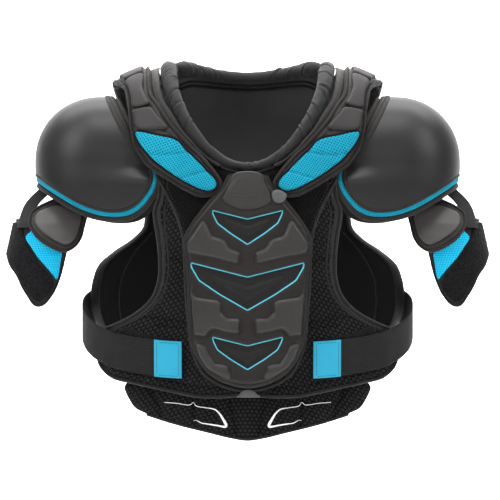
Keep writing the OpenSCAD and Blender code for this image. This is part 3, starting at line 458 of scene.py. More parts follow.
for side, mir in SIDES:
    sd = 11 if mir else 5
    lines = [arm_in, g1, g2, g3, low_seam, chest_pipe]
    def top(v, d, sd=sd):
        o = crown(4.5, 11.7, 7, 0.0)(v, d) + 0.35 * noise(v, 60, sd) + 0.16 * noise(v, 18, sd + 1)
        q = np.minimum(seg_dist(v, arm_in), np.minimum(seg_dist(v, g1), seg_dist(v, g2)))
        o += 0.8 * np.clip(q / 18, 0, 1) * S(5, 14, d) * (v[:, 0] < -60)
        o -= groove(v, [arm_in, low_seam], 1.5, 2.6) * S(1, 5, d) + groove(v, [g1, g2, g3], 1.7, 3.0) * S(3, 8, d)
        # small gathers that run out from the seams
        ph = v[:, 1] / 4.3 + noise(v, 26, sd + 4) * 1.6
        o += 0.30 * np.sin(ph) * np.exp(-(seg_dist(v, arm_in) / 5.5) ** 2) * S(2, 6, d)
        return np.minimum(o, 12.35 - 0.0 * d)
    def pick(c):
        band = seg_dist(c, arm_edge) < seg_dist(arm_in[::6], arm_edge).mean()
        a = np.where(band, 1, 0)
        a = np.where((c[:, 1] < 1.9 * 62) & (c[:, 0] > -200), 1, a)
        inner = inside(c, np.concatenate([chest_pipe, [[30, chest_pipe[-1, 1]]], [[30, 0]], [[chest_pipe[0, 0], 0]]]))
        return np.where(inner & (c[:, 1] < dom([[-70, -225]])[0, 1]), 2, a)
    o = shell(f"chest_panel_{side}", FRONT, top, crown(4.0, 0.2, 3), 2.7, body="front", mirror=mir, rings=(0.5, 1.3, 2.8, 5.0),
        feats=[(L, False, (-1.5, 0, 1.5)) for L in (arm_in, g1, g2, g3, low_seam)], mats=[M["mesh"], M["smooth"], M["mesh2"], M["inner"]], pick=pick, back_mat=M["inner"])
    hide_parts(f"front_panel_{side}")
    # binding along the armhole and the lower edge, following the pad's rounded edge
    L = cr(np.concatenate([front_left[2:], front_bot]), step=2.6)
    P, N = on_body(L, 6.4)
    P[:, 2] += 0
    b = tube(f"chest_binding_{side}", P, N, 6.1, 2.6, 14, body="front", mat=M["bind"], mirror=mir,
             bumpf=lambda l, a: 1 + 0.02 * np.sin(l / 2.1) + 0.02 * np.sin(l / 5.3 + a))
    if not mir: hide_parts("front_binding")
    p1 = piping(f"chest_piping_{side}", chest_pipe, 12.2, 2.1, body="front", mat=M["bind"], mirror=mir)
    p2 = piping(f"armhole_piping_{side}", arm_in[4:], 9.9, 1.15, body="front", mat=M["bind"], mirror=mir)
    inn = inset(np.concatenate([arm_edge]), 0)
    T = np.gradient(arm_edge, axis=0); T /= np.linalg.norm(T, axis=1, keepdims=True); off = arm_edge + 4.6 * np.stack([-T[:, 1], T[:, 0]], 1) * -1
    if off[len(off) // 2, 0] < arm_edge[len(off) // 2, 0]: off = 2 * arm_edge - off
    st = [on_body(off, 10.9)]
    Tp = np.gradient(chest_pipe, axis=0); Tp /= np.linalg.norm(Tp, axis=1, keepdims=True)
    st.append(on_body(chest_pipe + 3.4 * np.stack([Tp[:, 1], -Tp[:, 0]], 1), 12.0))
    stitches(f"chest_stitching_{side}", st, "front", M["thread"], mir)
    # brushed patch under the strap's end
    pat = cr(dom([[-33, -328], [-75, -329.5], [-114, -332], [-114, -356], [-112, -381], [-75, -384.5], [-33, -381]]), True, 3)
    q = shell(f"loop_patch_{side}", cr(dom([[-84, -331], [-90, -331.5], [-130, -322], [-150, -316], [-160, -330], [-158, -352], [-150, -364], [-120, -377], [-90, -382], [-84, -381]]), True, 3),
        lambda v, d: 12.6 + 0.5 * np.clip(d / 1.5, 0, 1), 11.4, 3, body="front", mat=M["fuzz"], mirror=mir, rings=(0.6, 1.5))
    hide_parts(f"strap_patch_{side}")

# the band beside the collar, stitched along its middle
band_out = rows_outline([[-124, -109, 2, 2, 1], [-123, -108.5, 14, 14, 1], [-121, -107, 27, 27, 1], [-115, -101, -33, -33], [-103.5, -89, -52, -52], [-89, -77, -71, -71], [-72, -62, -88, -88], [-53, -46, -104, -104], [-36, -31, -115.5, -113.5]])
BAND = cr(band_out, True, 2.6)
for side, mir in SIDES:
    o = shell(f"collar_band_{side}", BAND, lambda v, d: crown(12.4, 15.6, 4)(v, d) + 0.15 * noise(v, 9, 3), 12.35, 2.4, body="front", mat=M["leather"], mirror=mir, rings=(0.5, 1.3, 2.6))
    nb = len(band_out) // 2
    mid = cr((band_out[:nb] + band_out[nb:][::-1]) / 2 + np.array([1.0, 0]), step=2.4)
    stitches(f"collar_band_stitching_{side}", [on_body(mid, 15.5)], "front", M["thread_dk"], mir, 2.6, 2.0, 0.5)

# ============================================================ collar: one roll round the neck, bending between the halves
fn = [(-99, 3, 1), (-98.5, 12, 1), (-96, -9, 0), (-91, -28, 0), (-82, -48, 0), (-71, -67, 0), (-57, -85, 0), (-41, -100, 0), (-25, -110, 0), (-11, -114.5, 0), (0, -115.5, 0)]
bn = [(-99, 3, 1), (-98.2, 8, 1), (-93.5, 13.5, 1), (-84, 10.2, 0), (-66, 9.4, 0), (-44, 6.6, 0), (-21, 4.6, 0), (0, 4, 0)]
def npath(L): return np.array([[x, (v if k else float(tof(x, v))) * BSZ] for x, v, k in L])
A = npath(fn); Bk = npath(bn); Bk[:, 1] *= -1
loop = np.concatenate([Bk[::-1], A, (A * [-1, 1])[::-1][1:], (Bk * [-1, 1])[:-1]])
loop = cr(loop, True, 1.6)
p = pof(loop[:, 0]); t = loop[:, 1] / BSZ
NB = nrm(p, t, 1); PB = base(p, t, 1) + 8 * NB
for _ in range(6):
    PB = (np.roll(PB, 1, 0) + 2 * PB + np.roll(PB, -1, 0)) / 4; NB = (np.roll(NB, 1, 0) + 2 * NB + np.roll(NB, -1, 0)) / 4
NB /= np.linalg.norm(NB, axis=1, keepdims=True)
frac = np.clip(np.abs(PB[:, 0]) / 99, 0, 1)
rr = np.where(PB[:, 1] < 0, 5.6 + 4.6 * np.clip((PB[:, 2] + 118) / 125, 0, 1) ** 0.8, 7.7 + 2.5 * frac ** 1.3)
LB = np.concatenate([[0], np.cumsum(np.linalg.norm(np.diff(PB, axis=0), axis=1))])
rng = np.random.RandomState(4); creases = []
TOT = LB[-1]
for k in range(150):
    s0 = rng.rand() * TOT; i = min(len(PB) - 1, int(s0 / TOT * len(PB))); x, y, z = PB[i]
    dens = 0.25
    if y < 0: dens = 1.0 if x < -20 else (0.95 if abs(x) < 26 else 0.33)
    else: dens = 0.75 if x > 30 else (0.55 if x < -20 else 0.3)
    if rng.rand() > dens: continue
    creases.append((s0, rng.uniform(-1, 1) * 3 + (5.5 if x < 0 else -5.5), rng.uniform(0, 6.28), rng.uniform(0.7, 1.9), rng.uniform(0.15, 0.33), rng.uniform(0.9, 1.6)))
def collar_bump(l, a):
    f = np.ones_like(l) + 0.015 * np.sin(l / 7 + 2 * a) + 0.012 * np.sin(l / 3.1 - 3 * a)
    for s0, sl, a0, wa, dp, wd in creases:
        da = (a - a0 + math.pi) % (2 * math.pi) - math.pi
        dl = l - s0 - sl * da
        f -= dp * np.exp(-(dl / wd) ** 2) * np.exp(-(da / wa) ** 2)
        f += 0.45 * dp * np.exp(-((dl - 2.6) / 2.2) ** 2) * np.exp(-(da / wa) ** 2)
    return f
col = tube("collar_roll", PB, NB, rr, rr * 1.02, 40, True, None, M["lining"], bumpf=collar_bump)
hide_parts("collar_front", "collar_back")
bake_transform(col)

# ============================================================ sternum
st_out = np.array([[20.5, -122], [31.5, -138], [51, -161], [70, -188], [77, -202], [75.5, -228], [73.5, -260], [72.5, -292], [71.2, -318], [68.4, -338], [60.5, -356], [47, -373.5], [25, -386], [0, -391]])
def both(P): return np.concatenate([P * [-1, 1], P[::-1][(1 if P[-1, 0] == 0 else 0):]])
SO = cr(dom(both(st_out)), True, 2.4)
SO = SO[SO[:, 1] >= dom([[0, -122]])[0, 1] - 0.5]
o = shell("sternum_base", SO, lambda v, d: crown(13.2, 21.7, 5.5, 0.1)(v, d) + 0.12 * noise(v, 12, 9), crown(14.5, 12.7, 3), 2.6, body="sternum", mat=M["smooth"], rings=(0.5, 1.3, 2.6, 4.2))
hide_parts("sternum_pad")
pl = np.array([[15, -123.5], [20, -126], [27, -140], [47, -164], [66, -190], [71.5, -203], [70, -228], [68, -260], [67, -292], [65.8, -317], [63, -336], [55.5, -353], [43.5, -368.5], [23, -380], [0, -384.5]])
PO = cr(dom(both(pl)), True, 1.7)
def c5(*a):
    P = np.asarray(a, float).reshape(-1, 2); return np.stack([(P[:, 0] - 552) / 5.6 * 1.25, (75 - 160 - P[:, 1] / 5.6) * 1.25], 1)
up = c5(236, 466, 262, 425, 290, 382, 316, 346, 332, 366, 346, 402, 362, 428, 395, 440, 428, 455, 442, 482, 460, 500, 486, 511, 505, 520, 505, 545, 500, 570, 440, 557, 340, 532, 248, 508)
mi = c5(252, 716, 262, 748, 278, 766, 340, 778, 398, 790, 408, 812, 410, 846, 428, 872, 450, 886, 505, 889, 505, 925, 500, 956, 440, 952, 366, 936, 345, 950, 330, 974, 300, 972, 276, 962, 266, 880, 258, 790)
lw = c5(284, 1026, 302, 1028, 324, 1040, 340, 1075, 360, 1110, 378, 1136, 408, 1140, 440, 1150, 450, 1180, 462, 1207, 420, 1198, 375, 1178, 330, 1144, 304, 1100)
panels = []
for P in (up, mi, lw):
    for m_ in (1, -1): panels.append(cr(dom(P * [m_, 1]), True, 1.6))
def chev(w, z, dip, drop, arm_w, leg=0.34):
    H = np.array([[-w, z], [-w * 0.5, z - dip * 0.5], [0, z - dip], [w * 0.5, z - dip * 0.5], [w, z], [w * 0.985, z - arm_w * 0.32], [w * 0.86, z - arm_w], [w * 0.5, z - arm_w - drop * 0.36], [0, z - arm_w - drop * 0.78], [-w * 0.5, z - arm_w - drop * 0.36], [-w * 0.86, z - arm_w], [-w * 0.985, z - arm_w * 0.32]])
    H = resample(H, 1.5, True); return dom(H)
def rounded(L, k=2):
    for _ in range(k): L = (np.roll(L, 1, 0) + 2 * L + np.roll(L, -1, 0)) / 4
    return L
chevs = [rounded(chev(42, -168.5, 11, 34, 17)), rounded(chev(67, -233, 18, 48, 23)), rounded(chev(42, -325, 11, 32, 17))]
bars = []
for (w, z, dip, drop, aw) in ((42, -168.5, 11, 34, 17), (67, -233, 18, 48, 23), (42, -325, 11, 32, 17)):
    q = np.array([[-w * 0.62, z - dip * 0.62 - aw * 0.30], [0, z - dip - aw * 0.62], [w * 0.62, z - dip * 0.62 - aw * 0.30], [w * 0.52, z - dip * 0.52 - aw * 0.66], [0, z - dip - aw * 1.22], [-w * 0.52, z - dip * 0.52 - aw * 0.66]])
    bars.append(rounded(dom(resample(q, 1.4, True)), 1))
badge = cr(dom(np.array([[-17, -124], [17, -124], [20.5, -134], [26, -147], [29.5, -156], [20, -164], [10, -167.6], [0, -168.6], [-10, -167.6], [-20, -164], [-29.5, -156], [-26, -147], [-20.5, -134]])), True, 1.5)
badge_in = cr(dom(np.array([[-11, -128.5], [11, -128.5], [15.5, -135], [20.8, -143], [20.8, -149], [0, -151], [-20.8, -149], [-20.8, -143], [-15.5, -135]])), True, 1.4)
HP = 27.2
def plate_top(v, d):
    o = crown(22.4, HP, 4.0, 0.15)(v, d) + 0.05 * noise(v, 30, 2)
    for P in panels: o += 2.9 * S(-0.45, 0.45, signed(v, P))
    for P in panels: o -= 0.9 * np.exp(-((signed(v, P) + 2.0) / 1.2) ** 2)
    for P in chevs:
        s = signed(v, P); o -= 2.6 * S(-0.6, 1.6, s); o += 0.7 * np.exp(-((s + 1.9) / 1.1) ** 2)
    for P in bars: o += 2.0 * S(-0.7, 0.9, signed(v, P))
    s = signed(v, badge); o -= 1.5 * np.exp(-((s + 0.4) / 0.9) ** 2)
    return o
fe = [(P, True, (-1.6, -0.6, 0.6)) for P in panels] + [(P, True, (-0.9, 0.2, 1.7)) for P in chevs] + [(P, True, (-0.8, 0.9)) for P in bars] + [(badge, True, (-0.9, 0.5))]
def ppick(c):
    a = np.zeros(len(c), int)
    for P in panels: a = np.where(signed(c, P) > 0.2, 1, a)
    for P in chevs: a = np.where(signed(c, P) > 0.5, 2, a)
    return a
o = shell("sternum_shield", PO, plate_top, 22.1, 2.0, body="sternum", rings=(0.5, 1.2, 2.4, 3.8), feats=fe, mats=[M["eva"], M["eva_hi"], M["recess"]], pick=ppick)
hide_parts("sternum_plate")
V = []; Fc = []; U = []; off = 0
def ribbon_data(L, w, o):
    T = np.roll(L, -1, 0) - np.roll(L, 1, 0); T /= np.linalg.norm(T, axis=1, keepdims=True); Nn = np.stack([-T[:, 1], T[:, 0]], 1)
    a, b = L - Nn * w / 2, L + Nn * w / 2
    rows = [body_map(a, np.full(len(L), o - 1.0)), body_map(a + Nn * 0.25, np.full(len(L), o)), body_map(b - Nn * 0.25, np.full(len(L), o)), body_map(b, np.full(len(L), o - 1.0))]
    n = len(L); Vv = np.concatenate(rows); F = []
    for r in range(4):
        q = (r + 1) % 4
        for i in range(n):
            j = (i + 1) % n; F.append((r * n + i, r * n + j, q * n + j, q * n + i))
    return Vv, F
allV, allF = [], []
for P in chevs:
    Vv, F = ribbon_data(inset(P, 0.1), 2.3, HP - 0.55); allF += [tuple(k + off for k in f) for f in F]; allV.append(Vv); off += len(Vv)
o = make("chevron_outlines", np.concatenate(allV), allF, None, "sternum", M["line"])
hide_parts("sternum_inlays")
o = shell("throat_badge", inset(badge, 0.9), lambda v, d: crown(HP + 0.2, HP + 1.5, 1.5, 0.2)(v, d) + 1.2 * S(-0.7, 0.7, signed(v, badge_in)), HP - 0.6, 1.8, body="sternum", mat=M["eva_hi"], rings=(0.5, 1.3), feats=[(badge_in, True, (-0.8, 0.8))])
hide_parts("sternum_badge")
o = shell("sternum_side_tab", cr(dom([[29, -147], [36, -144], [46, -150], [43, -158], [35, -160.5], [30, -157]]), True, 1.4), crown(27.5, 31.2, 2.5, 0.2), 26.6, 1.6, body="sternum", mat=M["rubber"], rings=(0.5, 1.2))
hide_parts("sternum_tab")
o = shell("chest_tab", cr(dom([[-5, -392.8], [6, -392.8], [12, -398], [16, -401.5], [0, -402.4], [-14, -401.5], [-10, -398]]), True, 1.3), crown(12.8, 14.6, 2, 0.3), 12.2, 1.5, body="front", mat=M["rubber"], rings=(0.4, 1.0))
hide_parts("belly_tab")

# ============================================================ clavicle pads
clav_rows = [[-164, -122, 0.3, 0.3, 1], [-160, -120.5, 11, 11, 1], [-152, -119, 22, 22, 1], [-143, -115, -32, -32], [-139.5, -106, -48, -44], [-136.5, -94, -70, -62],
  [-132, -78, -90, -80], [-122, -61, -107, -97], [-107, -46, -121, -114], [-89, -36, -133.5, -128]]
co = rows_outline(clav_rows); n = len(clav_rows)
tip = dom([[-73, -143.5], [-58, -150.5], [-46, -150.5], [-36, -145], [-32.5, -135]])
CL = resample(np.concatenate([cr(np.concatenate([co[:n], tip, co[n:]]), step=2.2), resample(np.array([co[-1], co[0]]), 2.2)]), 2.2, True)
chan = inset(CL, 7.0)
chan_line = chan[seg_dist(chan, CL, True) > 6.2]
segs = [[[-156, -127, 2, 2, 1], [-154, -127, 8, 8, 1], [-149.5, -127, 16, 16, 1], [-147, -126.5, 20.5, 20.5, 1]],
        [[-144, -125.5, 24, 24, 1], [-139.5, -123, -29, -27], [-136, -118, -40, -37], [-134.5, -115, -48, -44.5]],
        [[-134, -112.5, -52.5, -48.5], [-132.5, -106, -60, -55], [-130.5, -98, -69, -63.5], [-123, -93, -73.5, -70]]]
INS = cr(dom([[-130, -75.5], [-126, -75], [-108, -78.5], [-84, -83.5], [-76, -91], [-63, -104.5], [-50, -119], [-38, -133], [-37, -139.5], [-43, -144.5], [-53, -144], [-75, -133], [-92.5, -121], [-106, -110], [-117.5, -98.5], [-127, -85.5]]), True, 2.0)
seam1 = cr(dom([[-116, -99], [-102, -100.5], [-86, -99.5], [-68, -96.5]]), step=2); seam2 = cr(dom([[-78, -129.5], [-66, -126], [-48, -120.5]]), step=2)
for side, mir in SIDES:
    body = f"clavicle_{side}"; sd = 31 if mir else 21
    SG = [cr(rows_outline(r), True, 1.8) for r in segs]
    def top(v, d, sd=sd):
        o = crown(14.0, 22.6, 6.5, 0.05)(v, d) + 0.22 * noise(v, 30, sd) + 0.08 * noise(v, 8, sd + 1)
        o -= 1.5 * np.exp(-((d - 7.0) / 1.3) ** 2)
        for P in SG: o -= 0.9 * np.exp(-((signed(v, P) + 1.6) / 1.6) ** 2)
        return o
    o = shell(f"clavicle_cover_{side}", CL, top, crown(14.2, 12.8, 3), 2.4, body=body, mat=M["leather"], mirror=mir, rings=(0.5, 1.4, 2.8, 4.6, 6.0, 7.0, 8.2))
    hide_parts(f"clavicle_pad_{side}")
    for k, P in enumerate(SG):
        q = shell(f"clavicle_segment_{k + 1}_{side}", P, lambda v, d, k=k: crown(22.2, 25.6, 3.2, 0.1)(v, d) + 0.3 * S(3, 12, d) + 0.06 * noise(v, 10, 40 + k), 21.6, 2.2, body=body, mat=M["segment"], mirror=mir, rings=(0.5, 1.2, 2.4))
        if k == 0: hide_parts(f"clavicle_segments_{side}")
    def itop(v, d, sd=sd):
        o = crown(21.9, 24.3, 3.0, 0.2)(v, d) + 0.35 * np.clip(d / 14, 0, 1) + 0.16 * noise(v, 14, sd + 7)
        return o - groove(v, [seam1, seam2], 1.3, 1.7)
    q = shell(f"clavicle_mesh_{side}", INS, itop, 21.2, 2.1, body=body, mat=M["blue"], mirror=mir, rings=(0.5, 1.2, 2.4), feats=[(seam1, False, (-1.2, 0, 1.2)), (seam2, False, (-1.2, 0, 1.2))])
    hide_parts(f"clavicle_insert_{side}")
    bl = CL[CL[:, 1] > 1.2]
    k0 = int(np.argmax(np.linalg.norm(bl - np.roll(bl, 1, 0), axis=1))); bl = np.roll(bl, -k0, 0)
    P, N = on_body(bl, 17.4)
    b = tube(f"clavicle_edge_{side}", P, N, 4.6, 2.5, 12, body=body, mat=M["bind"], mirror=mir, bumpf=lambda l, a: 1 + 0.02 * np.sin(l / 1.9) + 0.02 * np.sin(l / 6 + a))
    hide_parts(f"clavicle_binding_{side}")
    st = [on_body(inset(CL, 4.6)[2:-2], 22.0)]
    st = [on_body(L_, 22.4) for L_ in (resample(np.roll(inset(CL, 4.4), -k0, 0)[8:-12], 2.5),)]
    stitches(f"clavicle_stitching_{side}", st, body, M["thread"], mir, 2.4, 1.8, 0.38)
    pp = cr(INS[:], True, 2.0)
    P, N = on_body(inset(INS, -1.2), 22.3)
    tube(f"clavicle_mesh_edge_{side}", P, N, 1.3, 1.3, 8, True, body, M["seam"], mir)

# ============================================================ shoulder caps
CC = np.array([-188.0, -5, -106]); CPN = 2.1
POLE = np.array([-0.749, 0, 0.663]); CE1 = np.array([0.663, 0, 0.749]); CE2 = np.array([0, -1.0, 0])
def sup(D, k):
    k = np.asarray(k) + 0 * D[..., 0]
    s = (np.abs(D[..., 0]) / (np.where(D[..., 0] > 0, 140, 86.0) + k)) ** CPN + (np.abs(D[..., 1]) / (86 + k)) ** CPN + (np.abs(D[..., 2]) / (np.where(D[..., 2] < 0, 150, 85.0) + k)) ** CPN
    q = CC + D * (s ** (-1 / CPN))[..., None]
    u = q[..., 0] + 194
    q[..., 1] -= 0.125 * S(0, 28, -108 - q[..., 2]) * (u + np.sqrt(u * u + 400)) * S(0, 60, -5 - q[..., 1])
    return q
def cdir(ps, th):
    ps, th = np.radians(ps), np.radians(th)
    return np.cos(th)[..., None] * POLE + np.sin(th)[..., None] * (np.cos(ps)[..., None] * CE1 + np.sin(ps)[..., None] * CE2)
SET_BACK = [0.0]     # how far the shell's top edge stops short of its liner
def rimf(P, e):
    a = (P[..., 0] + 174 + SET_BACK[0] * S(-128, -66, P[..., 2])) * -0.891 + (P[..., 2] + 13) * -0.4535 + e * (0.2 + 0.5 * S(0, 40, -80 - P[..., 2]))
    b = (P[..., 0] + 279) * 0.54 + (P[..., 2] + 116) * 0.842 + e
    c = P[..., 2] + 171 + e
    d = (P[..., 0] + 131) * -0.8 + (P[..., 2] + 152) * 0.6 + e
    return -9 * np.log(np.exp(-a / 9) + np.exp(-b / 9) + np.exp(-c / 9) + np.exp(-d / 9))
def rim_th(ps, e):
    lo, hi = np.full(len(ps), 15.0), np.full(len(ps), 165.0)
    for _ in range(26):
        m = (lo + hi) / 2; ins = rimf(sup(cdir(ps, m), 0), e) > 0
        lo = np.where(ins, m, lo); hi = np.where(ins, hi, m)
    return (lo + hi) / 2
KP = 200; PS = np.arange(KP) / KP * 360
def dome_rows(rows):
    """closed strip of rings from the pole outwards and back inside; rows are (e or None, f, k): f of the way to the edge e, at offset k"""
    out = []
    for e, f, k in rows: out.append(sup(cdir(PS, rim_th(PS, e) * f), k))
    return out
def ring_mesh(name, rings, pole0=None, pole1=None, closed=False, body=None, mat=None, mirror=False, mats=None, ring_mat=None):
    R = len(rings); V = np.concatenate(rings); F = []; mi = []
    rr_ = range(R if closed else R - 1)
    for r in rr_:
        q = (r + 1) % R
        for i in range(KP):
            j = (i + 1) % KP; F.append((r * KP + i, q * KP + i, q * KP + j, r * KP + j)); mi.append(ring_mat[r] if ring_mat else 0)
    uvs = []
    for r in range(R):
        P = rings[r]; L = np.concatenate([[0], np.cumsum(np.linalg.norm(np.diff(P, axis=0), axis=1))])
        uvs.append(np.stack([L, np.zeros(KP)], 1))
    vv = np.zeros(KP)
    for r in range(R):
        if r: vv = vv + np.linalg.norm(rings[r] - rings[r - 1], axis=1)
        uvs[r][:, 1] = vv
    uv = np.concatenate(uvs)
    if pole0 is not None: V = np.concatenate([V, [pole0]]); uv = np.concatenate([uv, [[0, 0]]]); c = len(V) - 1; F += [(c, i, (i + 1) % KP) for i in range(KP)]; mi += [0] * KP
    if pole1 is not None: V = np.concatenate([V, [pole1]]); uv = np.concatenate([uv, [[0, 0]]]); c = len(V) - 1; F += [(c, (R - 1) * KP + (i + 1) % KP, (R - 1) * KP + i) for i in range(KP)]; mi += [0] * KP
    # outward test on the first full ring
    f = F[0]; n_ = np.cross(V[f[1]] - V[f[0]], V[f[3]] - V[f[0]])
    if np.dot(n_, V[f[0]] - CC) < 0 and not closed: F = [x[::-1] for x in F]
    return make(name, V, F, uv, body, mat, mirror, mats=mats, midx=mi if mats else None)
fs = np.linspace(0.02, 1, 56) ** 0.9
for side, mir in SIDES:
    body = f"cap_{side}"
    SET_BACK[0] = 11.0
    rows = [(0, f, 0.0) for f in fs[:-1]] + [(0, 0.9955, 0.0), (0.0, 1.0, -0.5), (0.2, 1.0, -1.6), (0.0, 1.0, -2.9), (0, 0.9955, -3.5)] + [(0, f, -3.5) for f in fs[:-1][::-4]]
    o = ring_mesh(f"cap_dome_{side}", dome_rows(rows), sup(POLE, 0), sup(POLE, -3.5), body=body, mat=M["cap"], mirror=mir)
    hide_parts(f"cap_shell_{side}")
    # liner: outer skin from under the shell to past its edge, rounded edge, inner face
    SET_BACK[0] = 0.0
    kin = lambda f: -16 + 8.2 * f ** 3
    rows = [(14.0, f, -4.1) for f in fs[::5]] + [(14.0, 1.0, -4.3), (15.0, 1.0, -5.2), (15.0, 1.0, -7.0), (14.0, 1.0, -8.0)] + [(14.0, f, kin(f)) for f in fs[::-4]]
    o = ring_mesh(f"cap_padding_{side}", dome_rows(rows), sup(POLE, -4.1), sup(POLE, -16), body=body, mat=M["inner"], mirror=mir)
    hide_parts(f"cap_liner_{side}")
    # grey bound lip along the shell's edge, blue stripe, dark outer binding
    wv = 0.25 * np.sin(np.radians(PS) * 23) + 0.15 * np.sin(np.radians(PS) * 41 + 1)
    SET_BACK[0] = 11.0
    rp = sup(cdir(PS, rim_th(PS, 2.4)), -1.9); lw = 1 + 0.75 * S(-120, -70, rp[:, 2])
    tube(f"cap_lip_{side}", rp, (rp - CC) / np.linalg.norm(rp - CC, axis=1, keepdims=True), 2.3 * lw, 2.5 * lw, 12, True, body, M["bind"], mir)
    rows = [(3.2, 1, -3.9), (3.4, 1, -2.2), (5.0, 1, -1.2), (7.5, 1, -0.9), (9.6, 1, -1.5), (10.9, 1, -3.0), (11.2, 1, -4.0)]
    rg = dome_rows(rows); rg = rg + dome_rows([(10.8, 1, -4.6), (7.0, 1, -4.6), (3.5, 1, -4.6)])
    o = ring_mesh(f"cap_stripe_{side}", rg, closed=True, body=body, mat=M["blue"], mirror=mir)
    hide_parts(f"cap_trim_{side}")
    SET_BACK[0] = 0.0
    rp = sup(cdir(PS, rim_th(PS, 14.6)), -4.6)
    o = tube(f"cap_edge_{side}", rp, (rp - CC) / np.linalg.norm(rp - CC, axis=1, keepdims=True), 4.2, 3.9, 16, True, body, M["bind"], mir, bumpf=lambda l, a: 1 + 0.015 * np.sin(l / 2.2) + 0.015 * np.sin(l / 7 + a))
    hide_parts(f"cap_binding_{side}")
    tube(f"cap_seam_{side}", sup(cdir(PS, rim_th(PS, 11.3)), -2.9), (rp - CC) / np.linalg.norm(rp - CC, axis=1, keepdims=True), 0.9, 0.9, 8, True, body, M["seam"], mir)
    e1 = sup(cdir(PS, rim_th(PS, 14.9)), -1.0); nn = (rp - CC) / np.linalg.norm(rp - CC, axis=1, keepdims=True)
    stitches(f"cap_stitching_{side}", [(np.concatenate([e1, e1[:1]]), np.concatenate([nn, nn[:1]]))], body, M["thread"], mir, 2.6, 1.9, 0.4)
    # padded roll along the inner top edge, in front of the yoke
    sel = [i for i in range(KP) if True]
    SET_BACK[0] = 5.0; th = rim_th(PS, 0.4); q = sup(cdir(PS, th), -2.0); SET_BACK[0] = 0.0
    ok = (q[:, 1] < 6) & (q[:, 2] > -99) & (q[:, 0] > -183) & (rimf(q, 0) > -50)
    idx = np.where(ok & (q[:, 2] > -99))[0]
    if len(idx) > 3:
        br = np.where(np.diff(idx) > 1)[0]
        if len(br): idx = np.concatenate([idx[br[0] + 1:], idx[:br[0] + 1]])
        q2 = q[idx]; n2 = (q2 - CC) / np.linalg.norm(q2 - CC, axis=1, keepdims=True)
        env = np.sin(np.linspace(0, math.pi, len(q2))) ** 0.4
        tube(f"cap_top_roll_{side}", q2 + n2 * 0.6, n2, 2.6 * env + 0.6, 3.6 * env + 0.8, 14, False, body, M["smooth"], mir)

# ============================================================ arm guards
AQ = np.array([-243.6, -4, -150]); AA = np.array([-0.2164, 0, -0.9763]); AL = np.array([-0.9763, 0, 0.2164])
DEEP = np.array([[-300, 1.12], [-215, 1.08], [-200, 1.05], [-185, 0.97], [-172, 0.84], [-160, 0.68], [-150, 0.56], [-136, 0.44]])
RREF = 50.0
def arm_xyz(al, z, r):
    a = np.radians(al); f = np.interp(z, DEEP[:, 0], DEEP[:, 1]); s = (-150 + 0.2164 * r * np.cos(a) - z) / 0.9763
    return AQ + s[:, None] * AA + r[:, None] * (np.cos(a)[:, None] * AL + (f * np.sin(a))[:, None] * np.array([0, -1.0, 0]))
# flat pattern of the arm: (u, z) with u = 50 mm x angle
def arm_map(Q, o): return arm_xyz(np.degrees(Q[:, 0] / RREF), Q[:, 1], RREF + np.asarray(o, float))
def ad(*a):
    P = np.asarray(a, float).reshape(-1, 2); return np.stack([np.radians(P[:, 0]) * RREF, P[:, 1]], 1)
def arm_norm(L):
    e = 0.5; c = arm_map(L, np.zeros(len(L))); N = arm_map(L, np.full(len(L), 2.0)) - c
    return N / np.linalg.norm(N, axis=1, keepdims=True)
WR = cr(ad(-78, -182, -70, -179.5, -40, -178, 0, -180, 30, -180.5, 50, -179, 64, -176, 78, -172.5, 90, -171.5, 102, -176, 114, -185, 123, -194, 126, -202, 126, -225, 125.5, -248, 122, -266, 117, -277, 108, -287.5, 99, -289, 92, -286, 84, -279, 70, -266, 53, -249.5, 35, -239.5, 20, -232.5, 0, -226.5, -40, -226, -70, -226, -78, -223), True, 2.2)
INZ = cr(ad(57, -202.5, 62, -196, 68, -193, 74, -196, 91, -206, 104, -213, 113, -217, 118, -222, 119.5, -232, 120, -256, 112, -250.5, 104, -244, 85, -229, 70, -215), True, 1.8)
ST = cr(ad(-74, -185, -40, -183, 0, -183, 22, -183.5, 45, -190.5, 56, -204, 70, -217.5, 85, -232, 100, -244, 112, -254, 117.5, -262, 115, -271, 108, -280, 101, -284.5, 94, -283, 86, -277, 70, -262.5, 53, -245.5, 35, -235.5, 20, -229, 0, -223, -40, -222.5, -74, -221), True, 2.0)
GD = cr(ad(64.5, -172, 70, -166, 78, -160.5, 92, -154.5, 104, -156.5, 116, -161, 128, -167, 135, -173, 136, -188, 135.5, -203, 130, -213, 122, -218.5, 113, -219.5, 102, -215.5, 92, -210.5, 82, -204, 72, -194.5, 66, -186.5), True, 2.0)
PLT = cr(ad(72, -172, 80, -166.5, 92, -162, 104, -163, 114, -166.5, 124, -172, 127.5, -178, 128, -190, 127, -201, 122, -208.5, 115, -211.5, 104, -207.5, 94, -202, 84, -195.5, 75, -187, 71, -179), True, 1.8)
